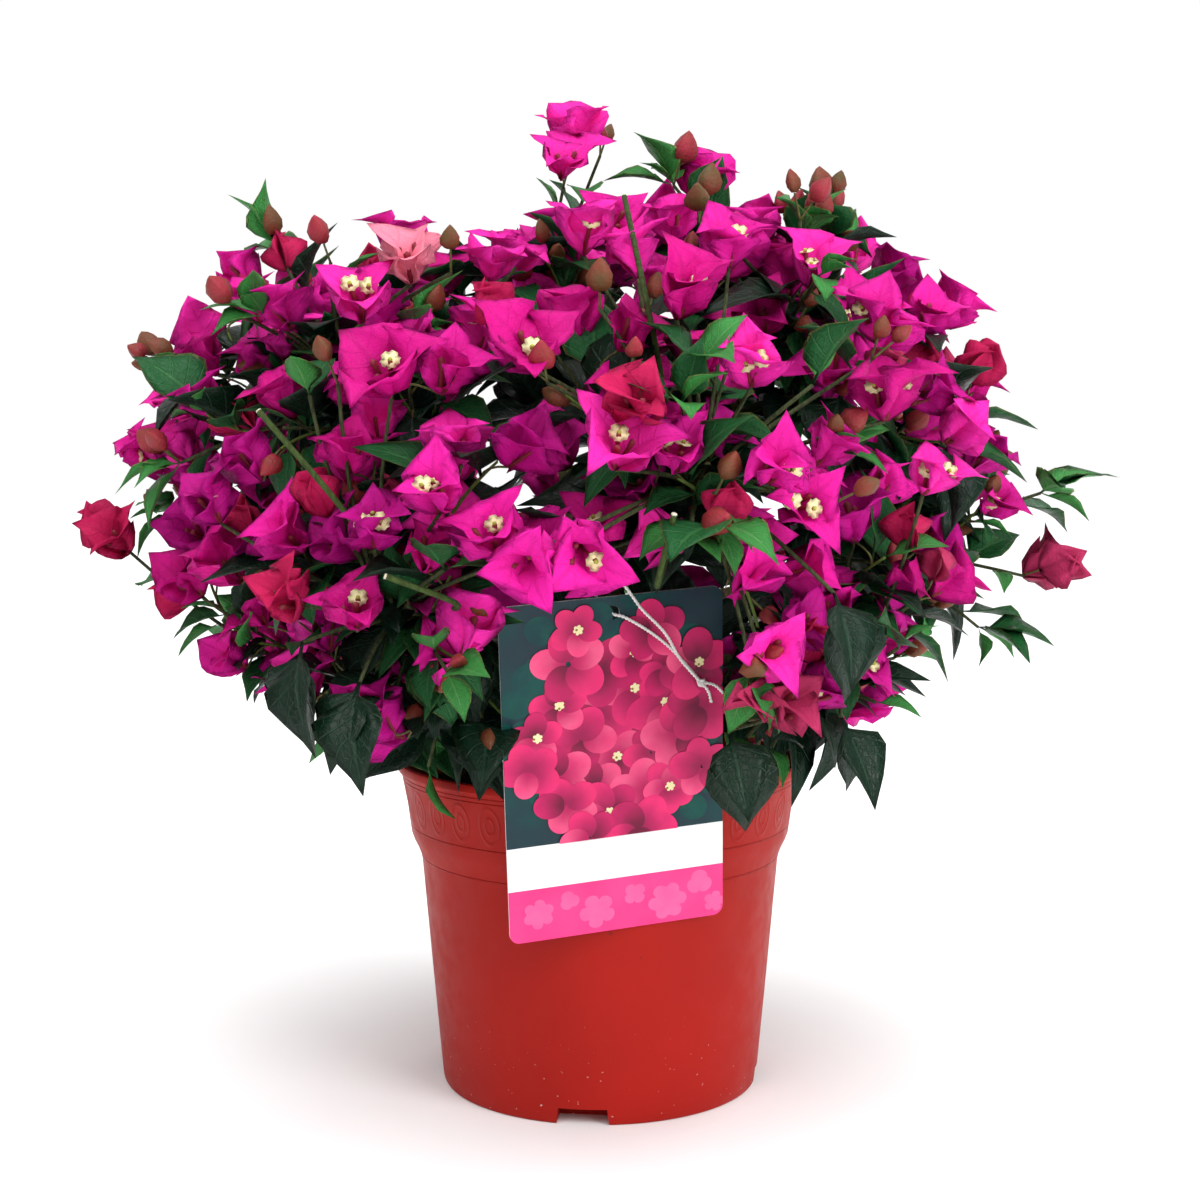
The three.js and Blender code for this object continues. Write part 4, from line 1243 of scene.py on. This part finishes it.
def dressShoot(line, seed, kind, many=1, level=0, free=False):
    # what grows along a shoot, node by node; level 1 is a side shoot
    draw = draws(seed)
    count = max(2, round(lineLength(line) / (growth["nodeGap"] * mm)))
    twigs.append((line, *growth["twigRadii"][level]))
    turn = draw() * 6.3
    for k in range(count):
        share = 0.1 + 0.86 * (k + 0.3 + 0.4 * draw()) / count
        root, along = onLine(line, share), alongLine(line, share)
        turn += goldenAngle
        direction, face = leafPlace(root, along, turn, draw)
        depth, luck = crownLevel(root), draw()
        growLeaf(root, direction, face, leafKindByShade(root, depth, draw), draw, free)
        way = unit(direction * 0.7 + along * 0.6 + upward * 0.35)
        if level == 0 and growth["forkPart"][0] < share < growth["forkPart"][1] and luck < growth["forkLuck"]:
            reach = (20 + 22 * draw()) * mm
            tip = root + way * reach
            ending = "bracts" if draw() < 0.75 else ("bud" if draw() < 0.5 else "leaves")
            if not inTheWay(tip, 5) and crownLevel(tip) < growth["forkSkin"]:
                bend = root + unit(way + along) * reach * 0.5
                dressShoot((root, bend, tip), seed * 7 + 31 * k + 5, ending, 1 + int(draw() * 2.5), 1)
        elif (depth > growth["flowering"] and root[2] > growth["lowestCluster"] * mm
              and luck < growth["sprayLuck"]):
            growSpray(root, way, 1 + int(draw() * 2.3), draw)
        elif depth > growth["budSkin"] and luck < growth["budLuck"]:
            growBud(root, way, draw)
        elif luck > growth["thornLuck"]:
            plant("thorns", "thorn", root, unit(direction + along * 0.3), along, (6 + 4 * draw()) * mm)
    finishShoot(onLine(line, 1.0), alongLine(line, 1.0), kind, many, draw, free)


def growShoot(aim, index):
    # a shoot from the nearest stem to the crown's skin, turned aside where the tag is in the way
    draw = draws(index)
    mass = nearestMass(aim)
    depth, early = 1 - 0.22 * draw() * draw(), 0.3 * draw()
    for attempt in range(growth["tries"]):
        direction = unit(aim + (massAxes[mass] - aim) * growth["aside"] * attempt)
        tip = hub + direction * (reachTowards(direction) * depth - growth["inset"] * mm)
        if inTheWay(tip, 6) or inTheWay(hub + (tip - hub) * 0.85, 3):
            continue
        angle = math.acos(max(-1, min(1, float(direction @ massAxes[mass]))))
        luck, many = draw(), 2 + int(draw() * 2)
        kind = "bracts" if luck < 0.72 else "sprig"
        if tip[2] < growth["lowestCluster"] * mm:
            kind = "leaves"
        if kind == "sprig":
            tip, many = tip + direction * growth["sprigReach"] * mm, 4
        line = curveTo(tip, mass, max(0.05, 0.9 - angle - early))
        dressShoot(line, index + seeds["shoots"], kind, many)
        return


def dressStem(line, seed, count):
    # leaves of the dark kind on the bare lengths inside the crown, as painted shade
    draw = draws(seed)
    for k in range(count):
        share = 0.1 + 0.85 * (k + draw()) / count
        root, along = onLine(line, share), alongLine(line, share)
        direction, face = leafPlace(root, along, k * goldenAngle, draw)
        growLeaf(root, direction, face, "dark", draw)


for index, (tip, kind, many) in enumerate(growth["leaders"]):
    tip = spot(*tip) * mm
    line = curveTo(tip, nearestMass(unit(tip - hub)), 0.55)
    dressShoot(line, index + seeds["leaders"], kind, many, free=True)
for index, (x, z, kind, many) in enumerate(growth["front"]):
    tip = frontSpot(x, z)
    tip = tip - unit(tip - hub) * growth["frontInset"][kind] * mm
    line = curveTo(tip, nearestMass(unit(tip - hub)), 0.7)
    twigs.append((line, *growth["twigRadii"][0]))
    finishShoot(tip, alongLine(line, 1.0), kind, many, draws(index + seeds["front"]), True)
for index, aim in enumerate(spiral(growth["shoots"], growth["lowestShoot"], growth["shootTurn"])):
    growShoot(aim, index)
for index, line in enumerate(stemLines):
    dressStem(line, index + seeds["stemLeaves"], growth["stemLeaves"])
for index, line in enumerate(boughLines):
    dressStem(line, index + seeds["boughLeaves"], growth["boughLeaves"])

stubParts = []
for (x, z), (lowX, lowZ) in growth["stubs"]:
    tip, low = frontSpot(x, z), frontSpot(lowX, lowZ)
    low = low - unit(low - hub) * growth["stubInset"] * mm
    root = onLine(stemLines[nearestMass(unit(low - hub))], 0.7)
    path = smoothPath([root, low, tip], 8)
    along = unit(tip - low)
    stubParts.append(tube(path, [growth["stubRadius"] * mm] * len(path), 8))
    plant("cut_ends", "cutEnd", tip, along, sideways(along), growth["stubRadius"] * mm)

foliage = {  # colour and vein colour of each kind
    # the bracts from bright to violet are dealt by height and side as well as at random: partly painted light
    "bracts_bright": papery("bright bracts", (0.85, 0.022, 0.38), (0.60, 0.006, 0.20)),
    "bracts_magenta": papery("magenta bracts", (0.72, 0.011, 0.31), (0.46, 0.004, 0.16)),
    "bracts_deep": papery("deep bracts", (0.55, 0.004, 0.20), (0.33, 0.002, 0.11)),
    "bracts_violet": papery("violet bracts", (0.48, 0.004, 0.22), (0.28, 0.002, 0.12)),
    "bracts_crimson": papery("crimson bracts", (0.50, 0.010, 0.085), (0.30, 0.006, 0.05)),
    "bracts_dusty": papery("dusty bracts", (0.46, 0.030, 0.11), (0.26, 0.015, 0.06)),
    "bracts_pale": papery("pale bracts", (0.88, 0.24, 0.34), (0.66, 0.10, 0.18)),
    "buds_red": fleshy("red buds", (0.33, 0.012, 0.035), (0.18, 0.030, 0.018)),
    "buds_brown": fleshy("brown buds", (0.20, 0.028, 0.016), (0.09, 0.055, 0.014)),
    "leaves_fresh": leathery("fresh leaves", (0.040, 0.225, 0.048), (0.15, 0.36, 0.12), (0.30, 0.32, 0.08)),
    "leaves_mid": leathery("mid leaves", (0.010, 0.082, 0.022), (0.05, 0.18, 0.055), (0.16, 0.17, 0.04)),
    # near-black leaves that stand in for the shade deep in the crown: painted shade
    "leaves_dark": leathery("shade painted leaves", (0.003, 0.017, 0.008), (0.02, 0.06, 0.03), (0.02, 0.05, 0.02),
                            0.34, 0.22),
    "flower_tubes": fleshy("flower tubes", (0.24, 0.014, 0.035), (0.15, 0.014, 0.02)),
    "open_flowers": fleshy("cream flowers", (0.86, 0.78, 0.42), (0.84, 0.76, 0.42), 0.6),
    "flower_eyes": fleshy("flower eyes", (0.42, 0.45, 0.06), (0.30, 0.33, 0.05)),
    "thorns": barky("thorn wood", (0.16, 0.12, 0.06), (0.07, 0.05, 0.025), 90, 0.0003),
    "cut_ends": barky("cut wood", (0.80, 0.74, 0.60), (0.60, 0.52, 0.36), 200, 0.0002),
}


def onCrown(made, material):
    made.data.materials.append(material)
    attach(made, "root")
    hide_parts(*masses)


for piece, material in foliage.items():
    if piece in planted:
        made = gather(piece)
        onCrown(made, material)
        triangles = sum(len(p.vertices) - 2 for p in made.data.polygons)
        print(" ", piece, len(planted[piece]), "copies,", triangles, "triangles")


def twigParts(lines, sides, rings):
    # tapering tubes along lines that come with their foot and tip radius
    parts = []
    for line, foot, tip in lines:
        shares = np.linspace(0, 1, rings)
        points = np.array([onLine(line, s) for s in shares])
        radii = [(foot + (tip - foot) * s) * mm for s in shares]
        parts.append(tube(points, radii, sides))
    return parts


stemRadii = [limbs["boughTipRadius"]] * len(boughLines) + [limbs["trunkTipRadius"]]
stems = [(line, radius, limbs["stemTipRadius"]) for line, radius in zip(stemLines, stemRadii)]
shoots = [twig for twig in twigs if twig[1] > 1]
youngShoots = [twig for twig in twigs if twig[1] <= 1]
flowerStalks = [(line, *growth["stalkRadii"]) for line in stalks]
barks = {  # name, colour, crevices, scale and depth of each kind of twig's bark
    "stems": ("stem bark", (0.13, 0.12, 0.05), (0.045, 0.045, 0.018), 90, 0.0005),
    "shoots": ("shoot bark", (0.05, 0.065, 0.022), (0.02, 0.022, 0.010), 120, 0.0003),
    "young_shoots": ("young bark", (0.10, 0.165, 0.028), (0.06, 0.09, 0.018), 120, 0.0002),
    "flower_stalks": ("stalk skin", (0.10, 0.11, 0.03), (0.06, 0.04, 0.02), 120, 0.0002),
    "pruned_shoots": ("green bark", (0.040, 0.070, 0.013), (0.024, 0.034, 0.009), 100, 0.0004),
}
for piece, parts in (("stems", twigParts(stems, 10, 26)), ("shoots", twigParts(shoots, 6, 12)),
                     ("young_shoots", twigParts(youngShoots, 6, 12)),
                     ("flower_stalks", twigParts(flowerStalks, 5, 5)), ("pruned_shoots", stubParts)):
    onCrown(meshFrom(piece, parts), barky(*barks[piece]))
print("foliage ready,", len(feet), "clusters")


# The care tag: a card with rounded corners and a hole, its print in thin flat shapes

holeRise = tag["height"] / 2 - tag["holeInset"]
bm = bmesh.new()
card = bmesh.ops.create_grid(bm, x_segments=1, y_segments=1, size=0.5)["verts"]
for v in card:
    v.co = (v.co.x * tag["width"], v.co.y * tag["height"], 0)
bmesh.ops.bevel(bm, geom=card, offset=tag["corner"], offset_type="OFFSET", segments=8, profile=0.5,
                affect="VERTICES", material=-1)
for rise in (tag["pictureFoot"], tag["whiteFoot"], tag["height"] / 2 - 2 * tag["holeInset"]):
    bmesh.ops.bisect_plane(bm, geom=bm.verts[:] + bm.edges[:] + bm.faces[:], plane_co=(0, rise, 0),
                           plane_no=(0, 1, 0), dist=1e-5)
for f in bm.faces:
    middle = f.calc_center_median().y
    f.material_index = 1 if middle > tag["pictureFoot"] else (0 if middle > tag["whiteFoot"] else 2)
grown = bmesh.ops.extrude_face_region(bm, geom=bm.faces[:])
lifted = [g for g in grown["geom"] if isinstance(g, bmesh.types.BMVert)]
bmesh.ops.translate(bm, vec=(0, 0, tag["thick"]), verts=lifted)
bmesh.ops.translate(bm, vec=(0, 0, -tag["thick"] / 2), verts=bm.verts[:])
bmesh.ops.recalc_face_normals(bm, faces=bm.faces[:])
for f in bm.faces:
    if f.normal.z < 0.5:
        f.material_index = 0
cardObject = objectFrom(bm, "tag_card")
bm = bmesh.new()
bmesh.ops.create_cone(bm, cap_ends=True, segments=36, radius1=tag["hole"], radius2=tag["hole"], depth=6)
bmesh.ops.translate(bm, vec=(0, holeRise, 0), verts=bm.verts[:])
cutOut(cardObject, objectFrom(bm, "hole_cutter"))
# from the card's own millimetres to its place on the pot
cardFrame = Matrix.Identity(4)
for k, column in enumerate((tagRight * mm, tagUp * mm, tagOut * mm, tagCentre)):
    for j in range(3):
        cardFrame[j][k] = column[j]
cardObject.data.transform(cardFrame)
settle(cardObject, 30)


def printed(name, colour, other, scale=60.0, heart=None):
    # flat print; a petal shades from its heart to its rim
    made, tree, surface = newMaterial(name, 0.34, 0.2)
    tone = useGroup(tree, patches, Scale=scale)
    base = blendColours(tree, tone["Tone"], rgba(colour), rgba(other))
    if heart:
        place = apart(tree, node(tree, "UVMap", uv_map=mapName).outputs["UV"])
        base = blendColours(tree, remap(tree, place["X"], 0.1, 0.95), rgba(heart), base)
    giveFinish(tree, surface, base, tone["Fine"], (0.3, 0.36))
    return made


cardObject.data.materials.append(printed("tag card", (0.86, 0.86, 0.86), (0.80, 0.80, 0.81)))
cardObject.data.materials.append(printed("picture ground", (0.006, 0.050, 0.052), (0.016, 0.022, 0.040), 42))
cardObject.data.materials.append(printed("pink band", (0.80, 0.035, 0.20), (0.86, 0.055, 0.24)))
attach(cardObject, "root")
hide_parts("care_tag")

prints = {
    "blossoms": 30, "petals": 5, "sizes": (10.5, 15.5), "spread": (38, 47), "leaves": 24, "leafSize": 11,
    "raise": 0.02, "layer": 0.003, "trim": 0.05, "scale": 110, "sway": 4, "flowering": 0.45,
    "holeClear": 13, "cornerClear": (20, 40),
    "band": [(-31, -56, 6.2, 6), (-19, -52, 4.0, 3), (-8, -58, 7.2, 5), (7, -53, 4.6, 4), (20, -58, 7.8, 6),
             (33, -52, 5.2, 3), (39, -61, 4.4, 5)],
    "inks": {  # two tones of each colour, and the tone at a petal's heart
        "deep": ((0.60, 0.014, 0.13), (0.42, 0.010, 0.09), (0.14, 0.006, 0.035)),
        "pink": ((0.82, 0.030, 0.17), (0.66, 0.016, 0.14), (0.30, 0.008, 0.07)),
        "light": ((0.86, 0.12, 0.26), (0.80, 0.050, 0.19), (0.42, 0.010, 0.09)),
        "heart": ((0.20, 0.16, 0.02), (0.20, 0.16, 0.02), None),
        "cream": ((0.84, 0.78, 0.46), (0.78, 0.70, 0.36), None),
        "leaf": ((0.003, 0.080, 0.060), (0.004, 0.035, 0.045), None),
        "pale": ((0.86, 0.12, 0.32), (0.84, 0.09, 0.28), None),
    },
}


def swung(x, y, turn):
    return x * math.cos(turn) - y * math.sin(turn), x * math.sin(turn) + y * math.cos(turn)


def flatShape(bm, x, y, layer, radius, lobes, depth, spin, squash=1.0, segments=40, heart=(0, 0)):
    # a flat lobed shape; its map runs from 0 at the heart of its blossom to 1 at the rim
    shade = bm.loops.layers.uv.get(mapName) or bm.loops.layers.uv.new(mapName)
    disc = bmesh.ops.create_circle(bm, cap_ends=True, cap_tris=True, segments=segments, radius=1)["verts"]
    for v in disc:
        far = v.co.length
        turn = math.atan2(v.co.y, v.co.x)
        reach = radius * far * (1 - depth + depth * abs(math.cos(lobes * turn / 2)) ** 0.6)
        px, py = swung(reach * math.cos(turn), reach * math.sin(turn) * squash, spin)
        v.co = (x + px, y + py, tag["thick"] / 2 + prints["raise"] + layer * prints["layer"])
    for f in {f for v in disc for f in v.link_faces}:
        for loop in f.loops:
            gap = math.hypot(loop.vert.co.x - x - heart[0], loop.vert.co.y - y - heart[1])
            loop[shade].uv = (gap / (2 * radius), 0.5)


def printPiece(name, bm, low, high, material):
    # cut to its own part of the card, then laid on the card
    half = tag["width"] / 2 - prints["trim"]
    for place, way in (((-half, 0, 0), (-1, 0, 0)), ((half, 0, 0), (1, 0, 0)), ((0, low, 0), (0, -1, 0)),
                       ((0, high, 0), (0, 1, 0))):
        bmesh.ops.bisect_plane(bm, geom=bm.verts[:] + bm.edges[:] + bm.faces[:], plane_co=place, plane_no=way,
                               dist=1e-5, clear_outer=True)
    bmesh.ops.transform(bm, matrix=cardFrame, verts=bm.verts[:])
    made = objectFrom(bm, name)
    made.data.materials.append(material)
    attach(made, "root")


draw = draws(seeds["print"])
sheets = {name: bmesh.new() for name in prints["inks"]}
pictureMiddle = (tag["pictureFoot"] + tag["height"] / 2) / 2 - 4
wide, tall = prints["spread"]
layer = 0
for k in range(prints["leaves"]):
    # a ring of leaves behind the blossoms
    turn, far = k * goldenAngle, 0.75 + 0.3 * draw()
    x, y = wide * far * math.cos(turn), pictureMiddle + tall * far * math.sin(turn)
    size = prints["leafSize"] * (0.8 + 0.5 * draw())
    flatShape(sheets["leaf"], x, y, layer, size, 2, 0.75, turn + draw(), 0.8)
    layer += 1
for k in range(prints["blossoms"]):
    # five broad petals, each laid over the last, and a small cream flower on some
    far, turn = math.sqrt((k + 0.5) / prints["blossoms"]), k * goldenAngle
    x, y = wide * far * math.cos(turn), pictureMiddle + tall * far * math.sin(turn)
    x, y = x + prints["sway"] * (draw() - 0.5), y + prints["sway"] * (draw() - 0.5)
    atCorner = abs(x) > prints["cornerClear"][0] and y > prints["cornerClear"][1]
    if math.hypot(x, y - tag["height"] / 2 + 6) < prints["holeClear"] or atCorner:
        continue
    size = prints["sizes"][0] + (prints["sizes"][1] - prints["sizes"][0]) * draw()
    spin, squash = draw() * 6.3, 0.7 + 0.3 * draw()
    lean = draw() * 6.3
    for j in range(prints["petals"]):
        at = spin + j * 6.283 / prints["petals"]
        px, py = swung(size * 0.5 * math.cos(at), size * 0.5 * math.sin(at) * squash, lean)
        sheet = sheets[("pink", "light", "pink", "deep")[int(draw() * 4)]]
        flatShape(sheet, x + px, y + py, layer + j, size * 0.5 * (0.9 + 0.2 * draw()), 1, 0.12,
                  math.atan2(py, px), 0.85, 24, (-px, -py))
    if draw() < prints["flowering"]:
        flatShape(sheets["cream"], x + draw(), y + draw(), layer + 6, 2.0, 6, 0.4, spin)
        flatShape(sheets["heart"], x + draw() - 0.5, y + draw() - 0.5, layer + 7, 0.5, 6, 0.2, spin)
    layer += 8
for x, y, size, lobes in prints["band"]:
    flatShape(sheets["pale"], x, y, 1, size, lobes, 0.35, x)
picture = (tag["pictureFoot"], tag["height"] / 2 - prints["trim"])
band = (prints["trim"] - tag["height"] / 2, tag["whiteFoot"])
for name, (colour, other, heart) in prints["inks"].items():
    low, high = band if name == "pale" else picture
    ink = printed("print " + name, colour, other, prints["scale"], heart)
    printPiece("tag_print_" + name, sheets[name], low, high, ink)

# The string: two plies twisted round each other, through the hole and round a twig, tied in a knot
string = {
    "ply": 0.36, "spread": 0.3, "pitch": 2.9, "step": 0.4,
    "colour": (0.84, 0.83, 0.80),
    "knotSize": (0.45, 0.7),
    "knot": (33, 31, 3.2),  # across, up and out on the tag, as are the next
    "tails": [((36, 27, 2.6), (37.5, 22, 1.8)), ((38, 29.5, 3.4), (42, 25.5, 2.4))],
    "loop": [  # from the knot through the hole and round the twig, heights over the hole
        (20, -13.5, 1.6), (4, -1.2, 2.2), (0, 0, 0), (-3, 3.4, -5), (-6, 9, -8), (-3, 13, -6),
        (3, 12, 2), (10, 2, 4.6), (19, -8.5, 3.8), (25, -19.5, 3.4)],
}
knotSpot = onTag(*string["knot"])
loopSpots = [onTag(across, holeRise + rise, out) for across, rise, out in string["loop"]]
stringLoop = smoothPath([knotSpot, *loopSpots], 40, True)
stringTails = [smoothPath([knotSpot, *(onTag(*place) for place in tail)], 24) for tail in string["tails"]]
wide, thick = string["knotSize"]
knotPath = np.array([knotSpot + (tagRight * (math.sin(t) + 2 * math.sin(2 * t)) * wide
                                 + tagUp * (math.cos(t) - 2 * math.cos(2 * t)) * wide
                                 - tagOut * math.sin(3 * t) * thick) * mm
                     for t in np.linspace(0, 2 * math.pi, 60)])


def evenPath(path, gap):
    steps = np.concatenate(([0], np.cumsum(np.linalg.norm(np.diff(path, axis=0), axis=1))))
    places = np.linspace(0, steps[-1], max(4, int(steps[-1] / gap)))
    return np.column_stack([np.interp(places, steps, path[:, k]) for k in range(3)]), places


def plies(path):
    # the two strands that wind along a path
    path, places = evenPath(path, string["step"] * mm)
    steps = np.gradient(path, axis=0)
    steps /= np.linalg.norm(steps, axis=1)[:, None]
    first = sideways(steps[0])
    sides = []
    for along in steps:
        first = unit(first - along * (first @ along))
        sides.append((first, np.cross(along, first)))
    found = []
    for start in (0, math.pi):
        turn = start + places / (string["pitch"] * mm) * 2 * math.pi
        strand = np.array([p + (a * math.cos(t) + b * math.sin(t)) * string["spread"] * mm
                           for p, (a, b), t in zip(path, sides, turn)])
        found.append(tube(strand, [string["ply"] * mm] * len(strand), 6))
    return found


stringParts = []
for path in (np.concatenate((stringLoop, stringLoop[:1])), *stringTails, knotPath):
    stringParts += plies(path)
stringObject = meshFrom("tag_string_cord", stringParts)
twist, tree, surface = newMaterial("white string", 0.85, 0.5)
surface["Sheen Weight"].default_value = 0.2
tone = useGroup(tree, patches, Scale=300.0)
giveFinish(tree, surface, toned(tree, tone["Tone"], string["colour"], 0.86, 1.0), tone["Fine"], (0.78, 0.92))
giveRelief(tree, surface, tone["Fine"], 0.0001, 0.6)
stringObject.data.materials.append(twist)
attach(stringObject, "root")
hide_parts("tag_string")
print("care tag and string ready")
